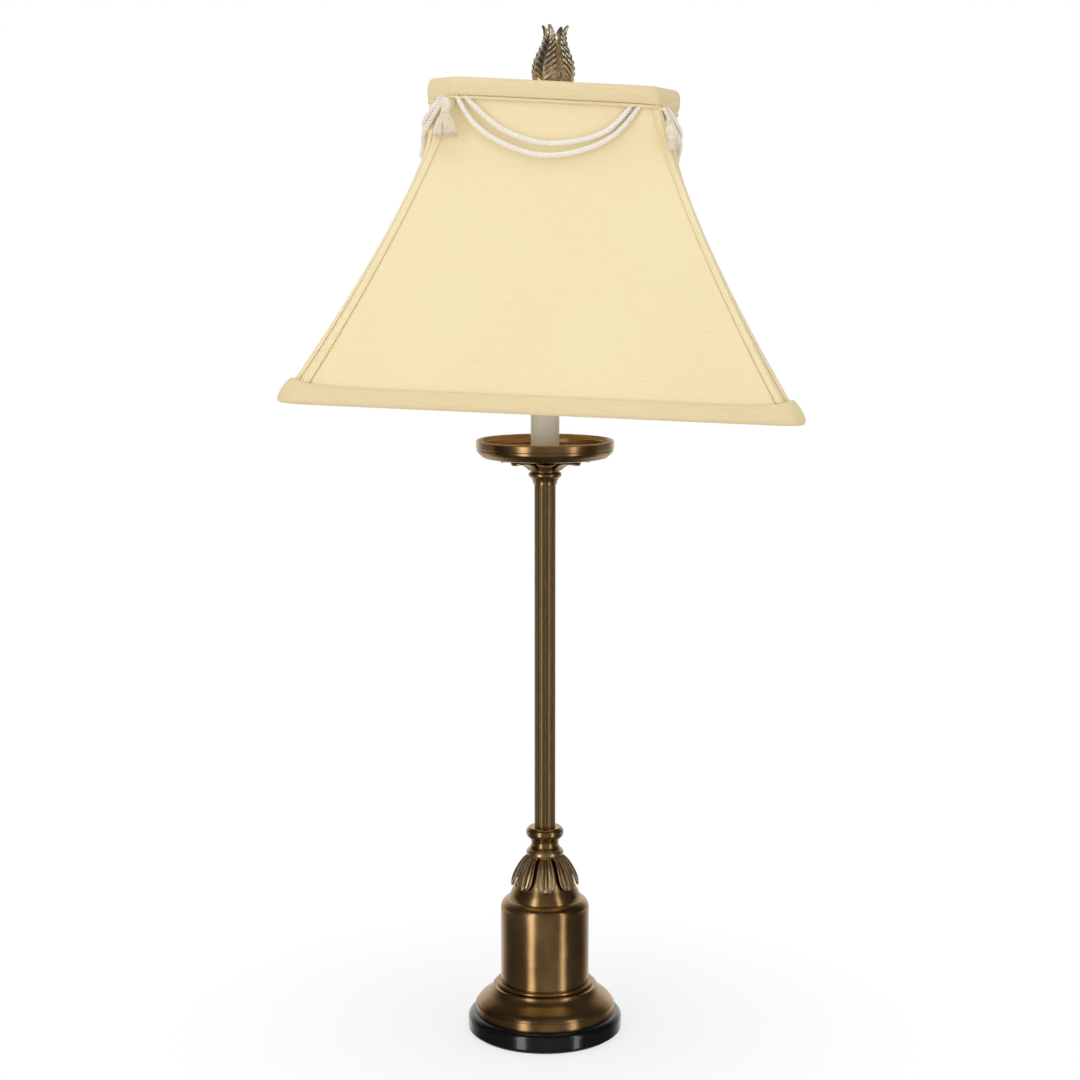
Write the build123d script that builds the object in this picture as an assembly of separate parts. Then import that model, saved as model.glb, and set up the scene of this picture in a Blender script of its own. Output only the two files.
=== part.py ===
from build123d import *
import math
import os

# Candlestick table lamp: a weighted turned base, a fluted column, a drip pan with a candle
# sleeve, a harp, and a cut-corner bell shade with rope swags, tassels and a leaf finial.
# Millimetres, +Z up, origin at the centre of the underside, long side of the shade along X.

os.makedirs("parts", exist_ok=True)

# ---------------------------------------------------------------- shared fits
seat_gap = 0.3          # between pieces that seat on a curved or sewn face
pipe_gap = 0.3          # radial gap round the threaded pipe
running_gap = 0.06      # radial gap of a shaft or a sliding sleeve

# ---------------------------------------------------------------- base
felt_thickness = 1.5
felt_inset = 4.0
plinth_radius = 61.3
plinth_height = 15.1
plinth_top_round = 5.5
plinth_foot_round = 2.5
nut_recess_radius = 15.0
nut_recess_depth = 9.5
bushing_bore = 6.4
bushing_wall = 1.2
bushing_flange_radius = 6.0
bushing_flange_thickness = 1.5
bushing_length = 11.0
cord_channel_radius = 3.5
foot_radius = 55.2
foot_rim_height = 6.0
foot_height = 24.8
foot_wall = 1.4
foot_groove = 0.9
bead_height = 3.0
drum_radius = 35.0
drum_height = 67.6
drum_wall = 1.1
drum_shoulder_height = 8.5
drum_shoulder_inset = 6.3
weight_gap = 2.4
weight_height = 42.0

# ---------------------------------------------------------------- leaf collar
shoulder_height = 33.5
shoulder_wall = 1.2
collar_ring_radius = 14.8
collar_ring_height = 6.5
collar_leaf_count = 8
collar_leaf_reach = 14.7
collar_leaf_drop = 24.2
collar_leaf_thickness = 1.3
collar_leaf_width = 15.4
collar_neck_radius = 10.7
collar_neck_height = 9.0
collar_top_height = 8.5

# ---------------------------------------------------------------- column and pipe
column_radius = 8.2
column_bore = 12.4
column_length = 284.0
column_socket_depth = 6.5
column_flutes = 24
column_flute_depth = 0.5
pipe_radius = 5.0
pipe_bore = 6.5
nut_across_flats = 17.0
nut_thickness = 5.0
washer_radius = 13.0
washer_thickness = 1.2
pipe_thread_end = 1.0   # pipe standing out past the nut

# ---------------------------------------------------------------- cup and drip pan
cup_neck_height = 9.5
cup_socket_depth = 4.5
cup_ring_radius = 12.9
cup_ring_height = 4.0
leaf_cup_height = 10.0
leaf_cup_radius = 19.0
petal_count = 8
petal_reach = 34.0
petal_thickness = 1.2
petal_width = 16.0
pan_radius = 53.5
pan_floor_radius = 48.5
pan_depth = 15.0
pan_floor_thickness = 3.4
pan_wall = 1.9
candle_radius = 11.1
candle_wall = 0.8
candle_length = 76.8
candle_seat_radius = 16.5
candle_seat_thickness = 1.6
candle_collar_height = 6.0
sleeve_cap_thickness = 2.0

# ---------------------------------------------------------------- harp
harp_lean = 1.5         # degrees, towards +X
harp_height = 178.0
harp_wire_radius = 2.2
harp_foot_spread = 29.0
harp_bow_spread = 54.0
harp_bow_low = 86.0
harp_bow_high = 128.0
harp_top_spread = 13.0
saddle_thickness = 1.6
saddle_width = 11.0
saddle_disc_radius = 14.0
post_height = 8.0
post_tab_height = 6.0
harp_sleeve_length = 14.0
harp_sleeve_wall = 0.8
harp_sleeve_travel = 12.0
harp_seat_thickness = 2.0
harp_seat_radius = 7.5
stud_radius = 3.15
stud_length = 19.0

# ---------------------------------------------------------------- socket and bulb
socket_cap_height = 14.0
socket_cap_lap = 4.0
socket_radius = 16.6
socket_shell_wall = 0.7
socket_height = 50.0
liner_wall = 0.9
core_height = 16.0
knob_height = 9.0       # knob axis above the underside of the socket core
knob_shaft_radius = 2.0
knob_reach = 20.0       # knob shaft standing out of the shell
knob_radius = 5.5
knob_length = 9.0
bulb_cap_radius = 13.0
screw_shell_wall = 0.7
bulb_cap_height = 22.0
bulb_radius = 30.0
bulb_length = 107.0
glass_wall = 0.8

# ---------------------------------------------------------------- shade
shade_lean = 2.7        # degrees, towards +X
shade_top_half_length = 90.0
shade_top_half_depth = 63.5
shade_bottom_half_length = 187.1
shade_bottom_half_depth = 127.0
shade_rise = 18.0       # top edge above the harp seat
shade_height = 236.5
shade_neck_share = 0.19  # share of the height where the sides stay upright
corner_leg_top = 18.0
corner_leg_bottom = 8.1
flare_power = 1.25
fabric_thickness = 0.8
seam_gap = 0.6
top_band_height = 12.0
bottom_band_height = 11.5
band_thickness = 1.4
top_band_crown = 1.6
bottom_band_crown = 3.0
band_corner_round = 8.0
piping_height = 2.6
piping_thickness = 2.0
corner_trim_width = 8.0
corner_trim_thickness = 1.0
rib_width = 2.4
ring_wire_radius = 1.6
spider_hub_radius = 11.0
spider_hub_thickness = 1.6
spider_wire_radius = 1.6
spider_hole_gap = 0.35

# ---------------------------------------------------------------- ropes and tassels
rope_diameter = 4.2
tassel_length = 28.0
tassel_head_radius = 3.6
tassel_skirt_width = 22.0
tassel_skirt_depth = 7.0
slim_tassel_length = 19.0   # the closed tassels that lie over a corner panel
slim_tassel_width = 8.4
slim_tassel_depth = 5.2
slim_tassel_extra = 1.6     # further out than the flared ones, because the corner spreads below
tassel_string_radius = 0.8
tassel_string_length = 7.6
tassel_string_sway = 32.0   # degrees, the closed tassels lie to one side
tassel_body_sway = 12.0

# ---------------------------------------------------------------- finial
finial_height = 62.0
finial_stem_radius = 6.5
finial_leaf_count = 4
finial_phase = -28.0
finial_bulge = 16.6
finial_waist = 8.9
finial_tip_radius = 11.6
finial_leaf_thickness = 1.8
finial_leaf_width = 18.4

# ---------------------------------------------------------------- heights worked out from the above
plinth_top = felt_thickness + plinth_height
foot_top = plinth_top + foot_height
drum_top = foot_top + drum_height
shoulder_top = drum_top + shoulder_height
collar_ring_top = shoulder_top + collar_ring_height
collar_top = collar_ring_top + collar_neck_height + collar_top_height
column_bottom = collar_top - column_socket_depth
column_top = column_bottom + column_length
cup_bottom = column_top - cup_socket_depth
cup_ring_top = cup_bottom + cup_neck_height
pan_bottom = cup_ring_top + leaf_cup_height
pan_floor = pan_bottom + pan_floor_thickness
candle_bottom = pan_floor + candle_seat_thickness
candle_top = candle_bottom + candle_length
saddle_z = candle_top + sleeve_cap_thickness
socket_bottom = saddle_z + saddle_thickness
pipe_hole = pipe_radius + pipe_gap
bulb_tip = socket_bottom + socket_cap_height - socket_cap_lap + core_height + 4.0

harp_frame = Location((0, 0, saddle_z)) * Rotation(0, harp_lean, 0)
seat_rise = harp_height + seat_gap + harp_seat_thickness
seat_frame = harp_frame * Location((0, 0, seat_rise)) * Rotation(0, shade_lean - harp_lean, 0)
shade_top = shade_rise
shade_bottom = shade_rise - shade_height


def save(shape, name):
    export_step(shape, f"parts/{name}.step")


def turned(*edges):
    """Solid of revolution about Z from a closed outline drawn as (radius, height)."""
    outline = Wire(edges)
    return revolve(Plane.XZ * make_face(outline), Axis.Z)


def polygon_turned(*points):
    return revolve(Plane.XZ * make_face(Polyline(*points, close=True)), Axis.Z)


def tube(outer, inner, low, high):
    ring = Circle(outer) - Circle(inner)
    return Pos(0, 0, low) * extrude(ring, high - low)


def disc(radius, low, high):
    return Pos(0, 0, low) * extrude(Circle(radius), high - low)


def inward(points, distance):
    """The same outline moved inwards by a wall, with both ends kept at their own height."""
    moved = []
    for index, (radius, height) in enumerate(points):
        before = points[max(index - 1, 0)]
        after = points[min(index + 1, len(points) - 1)]
        step_r = after[0] - before[0]
        step_z = after[1] - before[1]
        length = math.hypot(step_r, step_z)
        moved.append((radius - distance * step_z / length, height + distance * step_r / length))
    moved[0] = (points[0][0] - distance, points[0][1])
    moved[-1] = (points[-1][0] - distance, points[-1][1])
    return moved


def spun(points, wall):
    """A spun metal shell: a smooth outline and its own inner face, turned about Z."""
    outer = points
    inner = inward(points, wall)
    edges = [
        Spline(*outer),
        Line(outer[-1], inner[-1]),
        Spline(*reversed(inner)),
        Line(inner[0], outer[0]),
    ]
    return turned(*edges)


# ---------------------------------------------------------------- base pieces
def make_felt_pad():
    return disc(plinth_radius - felt_inset, 0, felt_thickness)


bushing_z = felt_thickness + plinth_height / 2 - 0.6
bushing_radius = bushing_bore / 2 + bushing_wall
bushing_face = plinth_radius - bushing_flange_thickness


def along_y(shape, reach):
    """Turns a shape drawn along Z to run along +Y from the given reach, at the bushing's height."""
    return Pos(0, reach, bushing_z) * Rotation(-90, 0, 0) * shape


def make_plinth():
    body = disc(plinth_radius, felt_thickness, plinth_top)
    rims = body.edges().filter_by(GeomType.CIRCLE).sort_by(Axis.Z)
    body = fillet(rims[0], plinth_foot_round)
    rims = body.edges().filter_by(GeomType.CIRCLE).sort_by(Axis.Z)
    body = fillet(rims[-1], plinth_top_round)
    body -= disc(nut_recess_radius, felt_thickness, felt_thickness + nut_recess_depth)
    body -= disc(pipe_hole, felt_thickness, plinth_top)
    channel = extrude(Circle(cord_channel_radius), plinth_radius)
    body -= along_y(channel, nut_recess_radius / 2)
    seat = extrude(Circle(bushing_radius + running_gap), bushing_length)
    body -= along_y(seat, bushing_face - bushing_length)
    spot = extrude(Circle(bushing_flange_radius + seat_gap), 2 * bushing_flange_thickness)
    body -= along_y(spot, bushing_face)
    return body


def make_cord_bushing():
    sleeve = extrude(Circle(bushing_radius), bushing_length)
    flange = extrude(Circle(bushing_flange_radius), bushing_flange_thickness)
    rim = flange.edges().filter_by(GeomType.CIRCLE).sort_by(Axis.Z)[-1]
    flange = fillet(rim, bushing_flange_thickness * 0.6)
    shape = sleeve + Pos(0, 0, bushing_length) * flange
    shape -= extrude(Circle(bushing_bore / 2), bushing_length + bushing_flange_thickness)
    return along_y(shape, bushing_face - bushing_length)


def make_base_weight():
    radius = drum_radius - drum_wall - weight_gap
    return tube(radius, pipe_hole, plinth_top, plinth_top + weight_height)


def make_foot_flange():
    rim_top = plinth_top + foot_rim_height
    bead_low = foot_top - bead_height
    step = bead_low - 0.6
    rise = step - rim_top
    spread = foot_radius - drum_radius
    groove = (foot_radius - foot_groove, rim_top + foot_groove)
    bell = [
        groove,
        (foot_radius - 0.11 * spread, rim_top + 0.20 * rise),
        (foot_radius - 0.31 * spread, rim_top + 0.45 * rise),
        (foot_radius - 0.53 * spread, rim_top + 0.68 * rise),
        (foot_radius - 0.70 * spread, step),
    ]
    lining = [(r - foot_wall * 0.8, z - foot_wall * 0.8) for r, z in bell]
    lining[0] = (foot_radius - 2 * foot_wall, rim_top)
    neck = drum_radius + 2.4
    hole = drum_radius - drum_wall
    bead_bulge = (drum_radius + 3.4, foot_top - bead_height / 2)
    edges = [
        Line((foot_radius, plinth_top), (foot_radius, rim_top)),
        Line((foot_radius, rim_top), (groove[0], rim_top)),
        Line((groove[0], rim_top), groove),
        Spline(*bell),
        Line(bell[-1], (neck, bead_low)),
        ThreePointArc((neck, bead_low), bead_bulge, (drum_radius + 1.6, foot_top)),
        Line((drum_radius + 1.6, foot_top), (hole, foot_top)),
        Line((hole, foot_top), (hole, lining[-1][1])),
        Line((hole, lining[-1][1]), lining[-1]),
        Spline(*reversed(lining)),
        Line(lining[0], (foot_radius - 2 * foot_wall, plinth_top)),
        Line((foot_radius - 2 * foot_wall, plinth_top), (foot_radius, plinth_top)),
    ]
    return turned(*edges)


drum_lip_radius = drum_radius - drum_shoulder_inset


def make_drum():
    side_top = drum_top - drum_shoulder_height
    inner = drum_radius - drum_wall
    edges = [
        Line((drum_radius, foot_top), (drum_radius, side_top)),
        TangentArc((drum_radius, side_top), (drum_lip_radius, drum_top), tangent=(0, 1)),
        Line((drum_lip_radius, drum_top), (drum_lip_radius - drum_wall, drum_top)),
        TangentArc((inner, side_top), (drum_lip_radius - drum_wall, drum_top), tangent=(0, 1)),
        Line((inner, side_top), (inner, foot_top)),
        Line((inner, foot_top), (drum_radius, foot_top)),
    ]
    return turned(*edges)


# ---------------------------------------------------------------- leaves
def leaf(line, widths, thickness, wrap, rib, facing=1):
    """One cast leaf: sections across a curved midrib line, each with a rib and two flutes.

    line holds (radius, height) points of the outer face along the midrib, for a leaf that
    points along +X. The sides fall back by wrap at the widest section, and the outer face
    has a raised midrib and raised edges. Every section is closed by the same four edges.
    facing is 1 when the leaf runs downwards and -1 when it rises, so that the ribbed face is
    always the one away from the axis.
    """
    sections = []
    for index, (radius, height) in enumerate(line):
        before = line[max(index - 1, 0)]
        after = line[min(index + 1, len(line) - 1)]
        along = Vector(after[0] - before[0], 0, after[1] - before[1])
        across = Vector(0, 1, 0)
        frame = Plane(origin=(radius, 0, height), x_dir=across, z_dir=along)
        half = widths[index] / 2
        share = widths[index] / max(widths)
        back = wrap * share ** 2
        lift = rib * share
        side = [(half, -back - thickness * 0.4), (half * 0.84, -back * 0.72), (half * 0.42, -back * 0.2 - lift)]
        side = [(x, y * facing) for x, y in side]
        outer = side + [(0, 0)] + [(-x, y) for x, y in reversed(side)]
        middle = (0, (-thickness - lift * 0.6) * facing)
        corner = (half * 0.94, (-back - thickness) * facing)
        across_corner = (-corner[0], corner[1])
        edges = [
            Spline(*outer),
            Line(outer[-1], across_corner),
            ThreePointArc(across_corner, middle, corner),
            Line(corner, outer[0]),
        ]
        sections.append(frame * make_face(Wire(edges)))
    return loft(sections)


def leaf_ring(blade, count, phase=0.0):
    return [Rotation(0, 0, phase + index * 360 / count) * blade for index in range(count)]


leaf_root_radius = collar_ring_radius - 2.3
leaf_root_height = shoulder_top + 1.1
collar_leaf_line = [
    (leaf_root_radius + share * collar_leaf_reach, leaf_root_height - fall * collar_leaf_drop)
    for share, fall in ((0, 0), (0.25, 0.07), (0.44, 0.195), (0.71, 0.46), (0.90, 0.73), (0.965, 0.91), (1.0, 1.0))
]
collar_leaf_shares = (0.52, 0.62, 0.76, 0.94, 1.0, 0.78, 0.34)


def make_leaf_collar():
    low = shoulder_top
    high = collar_ring_top
    shoulder = collar_ring_radius - collar_ring_height * 0.34
    edges = [
        Line((pipe_hole, low), (shoulder, low)),
        ThreePointArc((shoulder, low), (collar_ring_radius, (low + high) / 2), (shoulder, high)),
        Line((shoulder, high), (pipe_hole, high)),
        Line((pipe_hole, high), (pipe_hole, low)),
    ]
    ring = turned(*edges)
    widths = [share * collar_leaf_width for share in collar_leaf_shares]
    blade = leaf(collar_leaf_line, widths, collar_leaf_thickness, 1.5, 0.6)
    shape = ring
    for copy in leaf_ring(blade, collar_leaf_count):
        shape = shape + copy
    return shape


def make_shoulder_cone():
    """Spun cap that rises inside the leaves, clear of their inner faces."""
    foot = drum_lip_radius - 0.5
    top = collar_ring_radius - 5.2
    steps = ((0, 0), (0.075, 0.14), (0.21, 0.29), (0.34, 0.44), (0.50, 0.62), (0.72, 0.81), (0.92, 0.95), (1, 1))
    outline = [
        (foot - fall * (foot - top), drum_top + rise * shoulder_height) for fall, rise in steps
    ]
    return spun(outline, shoulder_wall)


def make_column_collar():
    low = collar_ring_top
    neck = low + collar_neck_height * 0.45
    ring_low = collar_top - collar_top_height
    base = collar_ring_radius - 2.0
    socket = column_radius + running_gap
    edges = [
        Line((pipe_hole, low), (base, low)),
        ThreePointArc((base, low), (collar_neck_radius, neck), (base, ring_low)),
        ThreePointArc(
            (base, ring_low),
            (collar_ring_radius, (ring_low + collar_top) / 2),
            (base - 0.4, collar_top),
        ),
        Line((base - 0.4, collar_top), (socket, collar_top)),
        Line((socket, collar_top), (socket, column_bottom)),
        Line((socket, column_bottom), (pipe_hole, column_bottom)),
        Line((pipe_hole, column_bottom), (pipe_hole, low)),
    ]
    return turned(*edges)


# ---------------------------------------------------------------- column and its pipe
def make_column():
    flute_radius = math.pi * column_radius / column_flutes * 0.80
    section = Circle(column_radius)
    flutes = PolarLocations(column_radius + flute_radius - column_flute_depth, column_flutes)
    section -= flutes * Circle(flute_radius)
    section -= Circle(column_bore / 2)
    return Pos(0, 0, column_bottom) * extrude(section, column_length)


washer_z = felt_thickness + nut_recess_depth - washer_thickness
nut_z = washer_z - nut_thickness
pipe_bottom = nut_z - pipe_thread_end
pipe_top = socket_bottom + socket_cap_height - socket_cap_lap - 1.5


def make_lamp_pipe():
    return tube(pipe_radius, pipe_bore / 2, pipe_bottom, pipe_top)


def make_base_washer():
    return tube(washer_radius, pipe_hole, washer_z, washer_z + washer_thickness)


def make_base_nut():
    section = RegularPolygon(nut_across_flats / 2, 6, major_radius=False) - Circle(pipe_radius + 0.05)
    return Pos(0, 0, nut_z) * extrude(section, nut_thickness)


# ---------------------------------------------------------------- cup and drip pan
def make_cup_neck():
    socket = column_radius + running_gap
    ring_low = cup_ring_top - cup_ring_height
    waist = column_radius + 0.8
    edges = [
        Line((socket, cup_bottom), (waist, cup_bottom)),
        ThreePointArc((waist, cup_bottom), (waist + 0.8, cup_bottom + 3.0), (cup_ring_radius - 1.6, ring_low)),
        ThreePointArc(
            (cup_ring_radius - 1.6, ring_low),
            (cup_ring_radius, (ring_low + cup_ring_top) / 2),
            (cup_ring_radius - 1.2, cup_ring_top),
        ),
        Line((cup_ring_radius - 1.2, cup_ring_top), (pipe_hole, cup_ring_top)),
        Line((pipe_hole, cup_ring_top), (pipe_hole, column_top)),
        Line((pipe_hole, column_top), (socket, column_top)),
        Line((socket, column_top), (socket, cup_bottom)),
    ]
    return turned(*edges)


def make_leaf_cup():
    low = cup_ring_top
    root = cup_ring_radius - 2.0
    edges = [
        Line((pipe_hole, low), (root, low)),
        ThreePointArc((root, low), (root + 2.4, low + leaf_cup_height * 0.5), (leaf_cup_radius, pan_bottom)),
        Line((leaf_cup_radius, pan_bottom), (pipe_hole, pan_bottom)),
        Line((pipe_hole, pan_bottom), (pipe_hole, low)),
    ]
    core = turned(*edges)
    spread = petal_reach - root
    line = [
        (root + share * spread, pan_bottom - petal_thickness - 1.1 - drop * (leaf_cup_height - 3.5))
        for share, drop in ((0.06, 1.0), (0.22, 0.52), (0.45, 0.20), (0.70, 0.04), (0.90, 0.0), (1.0, 0.1))
    ]
    widths = [share * petal_width for share in (0.42, 0.62, 0.88, 1.0, 0.78, 0.34)]
    petal = leaf(line, widths, petal_thickness, 0.6, 0.4, -1)
    shape = core
    for copy in leaf_ring(petal, petal_count):
        shape = shape + copy
    return shape


def make_drip_pan():
    rim = pan_bottom + pan_depth
    edge = pan_radius
    inner = pan_radius - pan_wall
    under = pan_floor_radius
    points = [
        (pipe_hole, pan_bottom),
        (leaf_cup_radius + 1.5, pan_bottom),
        (under - 2.5, pan_bottom + 1.3),
        (under, pan_bottom + 2.0),
        (edge - 1.4, pan_bottom + 5.4),
        (edge - 0.3, pan_bottom + 7.2),
        (edge - 0.3, pan_bottom + 9.0),
        (edge, pan_bottom + 9.6),
        (edge, rim - 0.8),
        (edge - 0.6, rim),
        (inner, rim),
        (inner - 0.7, rim - 2.2),
        (inner - 3.0, rim - 3.4),
        (inner - 3.5, rim - 6.4),
        (inner - 6.2, rim - 7.6),
        (inner - 6.8, rim - 9.6),
        (candle_seat_radius + 14.0, pan_floor + 0.5),
        (candle_seat_radius + 0.5, pan_floor + 0.0),
        (pipe_hole, pan_floor),
    ]
    return polygon_turned(*points)


candle_inner = candle_radius - candle_wall


def make_candle_seat():
    low = pan_floor
    plate = candle_bottom
    points = [
        (pipe_hole, low),
        (candle_seat_radius, low),
        (candle_seat_radius, plate - 0.6),
        (candle_seat_radius - 0.8, plate),
        (candle_inner - running_gap * 2, plate),
        (candle_inner - running_gap * 2, plate + candle_collar_height),
        (pipe_hole, plate + candle_collar_height),
    ]
    return polygon_turned(*points)


def make_candle_sleeve():
    return tube(candle_radius, candle_inner, candle_bottom, candle_top)


def make_sleeve_cap():
    plug = candle_inner - running_gap * 2
    points = [
        (pipe_hole, candle_top - 4.0),
        (plug, candle_top - 4.0),
        (plug, candle_top),
        (candle_radius + 0.3, candle_top),
        (candle_radius + 0.3, saddle_z - 0.7),
        (candle_radius - 0.4, saddle_z),
        (pipe_hole, saddle_z),
    ]
    return polygon_turned(*points)


# ---------------------------------------------------------------- harp
post_low = saddle_thickness + post_tab_height
post_top = post_low + post_height
sleeve_low = post_low + 0.3


def make_harp_saddle():
    """Flat centre plate, strap arms that follow the lean, and a post for each harp foot."""
    plate = Pos(0, 0, saddle_z) * extrude(Circle(saddle_disc_radius), saddle_thickness)
    arms = []
    for side in (-1, 1):
        reach = harp_foot_spread - saddle_disc_radius + 1.5
        strap = Pos(side * (harp_foot_spread - reach / 2), 0, saddle_thickness / 2) * Box(
            reach, saddle_width, saddle_thickness
        )
        tab = Pos(side * harp_foot_spread, 0, post_low / 2) * Box(3.4, saddle_width * 0.7, post_low)
        post = Pos(side * harp_foot_spread, 0, post_low) * extrude(Circle(harp_wire_radius), post_height)
        arms.append(harp_frame * (strap + tab + post))
    shape = plate + arms[0] + arms[1]
    return shape - disc(pipe_hole, saddle_z - 1, saddle_z + saddle_thickness + 1)


def make_harp_bow():
    centre_top = harp_height - harp_wire_radius
    half = [
        (harp_foot_spread, 0, post_top),
        (harp_foot_spread, 0, post_top + 30.0),
        (harp_bow_spread, 0, harp_bow_low),
        (harp_bow_spread, 0, harp_bow_high),
        (harp_top_spread + 17.0, 0, harp_height - 13.0),
        (harp_top_spread, 0, centre_top),
    ]
    mirrored = [(-x, y, z) for x, y, z in reversed(half)]
    path = FilletPolyline(*half, *mirrored, radius=(16, 30, 30, 20, 8, 8, 20, 30, 30, 16))
    foot = Plane(origin=half[0], z_dir=(0, 0, 1)) * Circle(harp_wire_radius)
    return harp_frame * sweep(foot, path=path)


def make_harp_sleeve(side):
    bore = harp_wire_radius + running_gap
    outer = bore + harp_sleeve_wall
    length = harp_sleeve_length
    points = [
        (bore, 0),
        (outer, 0),
        (outer, length - 3.0),
        (outer + 0.8, length - 2.4),
        (outer + 0.8, length - 0.6),
        (outer, length),
        (bore, length),
    ]
    sleeve = polygon_turned(*points)
    return harp_frame * Pos(side * harp_foot_spread, 0, sleeve_low) * sleeve


def make_harp_seat():
    """Disc that the shade's hub sits on, with the stud that takes the finial."""
    plate = Pos(0, 0, -harp_seat_thickness) * extrude(Circle(harp_seat_radius), harp_seat_thickness)
    stud = extrude(Circle(stud_radius), stud_length)
    return seat_frame * (plate + stud)


# ---------------------------------------------------------------- socket and bulb
shell_low = socket_bottom + socket_cap_height - socket_cap_lap
shell_high = shell_low + socket_height - socket_cap_height + socket_cap_lap
core_low = shell_low
core_high = core_low + core_height
knob_z = core_low + knob_height
shell_inner = socket_radius - socket_shell_wall
liner_outer = shell_inner - running_gap * 2
liner_inner = liner_outer - liner_wall
core_radius = liner_inner - running_gap * 2
screw_inner = bulb_cap_radius + 0.1
screw_outer = screw_inner + screw_shell_wall


def knob_bore(radius, start, end):
    """A round bar along −Y at the height of the switch knob."""
    return Pos(0, -start, knob_z) * Rotation(90, 0, 0) * extrude(Circle(radius), end - start)


def make_socket_cap():
    lip = socket_radius + running_gap * 2
    outer = lip + 0.9
    high = socket_bottom + socket_cap_height
    points = [
        (pipe_hole, socket_bottom),
        (pipe_hole + 4.2, socket_bottom),
        (outer - 1.6, shell_low - 3.6),
        (outer, shell_low - 1.4),
        (outer, high),
        (lip, high),
        (lip, shell_low),
        (pipe_hole + 3.0, shell_low),
        (pipe_hole + 3.0, shell_low - 1.6),
        (pipe_hole, shell_low - 1.6),
    ]
    return polygon_turned(*points) - knob_bore(knob_shaft_radius + 0.8, 0, 2 * socket_radius)


def make_socket_shell():
    shape = tube(socket_radius, shell_inner, shell_low, shell_high)
    return shape - knob_bore(knob_shaft_radius + 0.6, 0, 2 * socket_radius)


def make_socket_liner():
    shape = tube(liner_outer, liner_inner, shell_low, shell_high - 1.5)
    return shape - knob_bore(knob_shaft_radius + 0.6, 0, 2 * socket_radius)


knob_socket_depth = 8.0


def make_socket_core():
    """Insulating switch body, with the blind hole that the knob's shaft turns in."""
    shape = disc(core_radius, core_low, core_high)
    return shape - knob_bore(
        knob_shaft_radius + running_gap, core_radius - knob_socket_depth, core_radius + 1
    )


def make_screw_shell():
    shape = tube(screw_outer, screw_inner, core_high, shell_high - 3.0)
    return shape + tube(screw_outer, bulb_cap_radius - 3.0, core_high, core_high + 0.8)


def make_contact():
    return disc(4.0, core_high, core_high + 2.6)


def make_switch_knob():
    inner_end = core_radius - knob_socket_depth + 0.4
    outer_end = socket_radius + knob_reach
    shaft = knob_bore(knob_shaft_radius, inner_end, outer_end)
    grip = extrude(Ellipse(knob_radius, knob_radius * 0.62), knob_length)
    grip = fillet(grip.edges().group_by(Axis.Z)[-1], 1.2)
    return shaft + Pos(0, -outer_end, knob_z) * Rotation(90, 0, 0) * grip


def make_bulb_cap():
    """Screw cap with its tip contact, just above the socket's centre contact."""
    low = bulb_tip
    high = low + bulb_cap_height
    points = [
        (0, low - 1.0),
        (3.2, low - 1.0),
        (4.0, low + 0.6),
        (bulb_cap_radius - 3.4, low + 2.6),
        (bulb_cap_radius, low + 4.2),
        (bulb_cap_radius, high),
        (0, high),
    ]
    return polygon_turned(*points)


def make_bulb_glass():
    low = bulb_tip + bulb_cap_height
    top = bulb_tip + bulb_length
    centre = top - bulb_radius
    neck = bulb_cap_radius + 0.4
    outer = [
        (neck, low),
        (neck + 0.6, low + 7.0),
        (neck + 5.5, low + 19.0),
        (bulb_radius - 2.8, centre - 12.0),
    ]
    side = Spline(*outer, (bulb_radius, centre), tangents=[(0, 1), (0, 1)])
    dome = JernArc((bulb_radius, centre), (0, 1), bulb_radius, 90)
    edges = [side, dome, Line(dome @ 1, (0, low)), Line((0, low), (neck, low))]
    solid = turned(*edges)
    shrink = glass_wall
    inner = [(r - shrink, z) for r, z in outer]
    side = Spline(*inner, (bulb_radius - shrink, centre), tangents=[(0, 1), (0, 1)])
    dome = JernArc((bulb_radius - shrink, centre), (0, 1), bulb_radius - shrink, 90)
    floor = low + shrink
    cavity = turned(side, dome, Line(dome @ 1, (0, low)), Line((0, low), (neck - shrink, low)))
    return solid - (cavity - disc(2 * neck, low - 1, floor))


# ---------------------------------------------------------------- shade outline
band_low = shade_top - top_band_height
piping_low = band_low - piping_height
bottom_band_high = shade_bottom + bottom_band_height


def shade_curve(height):
    """Ribs of the +X +Y quarter: x and y of the long panel's rib, x and y of the short panel's."""
    fall = (shade_top - height) / shade_height
    lean = max(fall, 0.0) ** flare_power
    flare = max((fall - shade_neck_share) / (1 - shade_neck_share), 0.0) ** flare_power
    half_length = shade_top_half_length
    half_length += (shade_bottom_half_length - shade_top_half_length) * flare
    half_depth = shade_top_half_depth
    half_depth += (shade_bottom_half_depth - shade_top_half_depth) * flare
    rib_x = shade_top_half_length - corner_leg_top
    rib_x += (shade_bottom_half_length - corner_leg_bottom - rib_x) * lean
    rib_y = shade_top_half_depth - corner_leg_top
    rib_y += (shade_bottom_half_depth - corner_leg_bottom - rib_y) * lean
    return (rib_x, half_depth, half_length, rib_y)


# The skin is drawn straight between these heights.
shade_rows = [shade_top, band_low]
shade_rows += [shade_top - share * shade_height for share in (0.12, 0.19, 0.25, 0.32, 0.39, 0.47)]
shade_rows += [shade_top - share * shade_height for share in (0.55, 0.63, 0.71, 0.79, 0.87)]
shade_rows += [bottom_band_high, shade_bottom]


def shade_ribs_at(height):
    rows = zip(shade_rows, shade_rows[1:])
    high, low = next(((h, l) for h, l in rows if height >= l), (shade_rows[-2], shade_rows[-1]))
    share = (high - height) / (high - low)
    return [top + (foot - top) * share for top, foot in zip(shade_curve(high), shade_curve(low))]


def front_rib(height):
    return tuple(shade_ribs_at(height)[:2])


def side_rib(height):
    return tuple(shade_ribs_at(height)[2:])


def rows_between(low, high):
    return [high] + [z for z in shade_rows if low < z < high] + [low]


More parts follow.
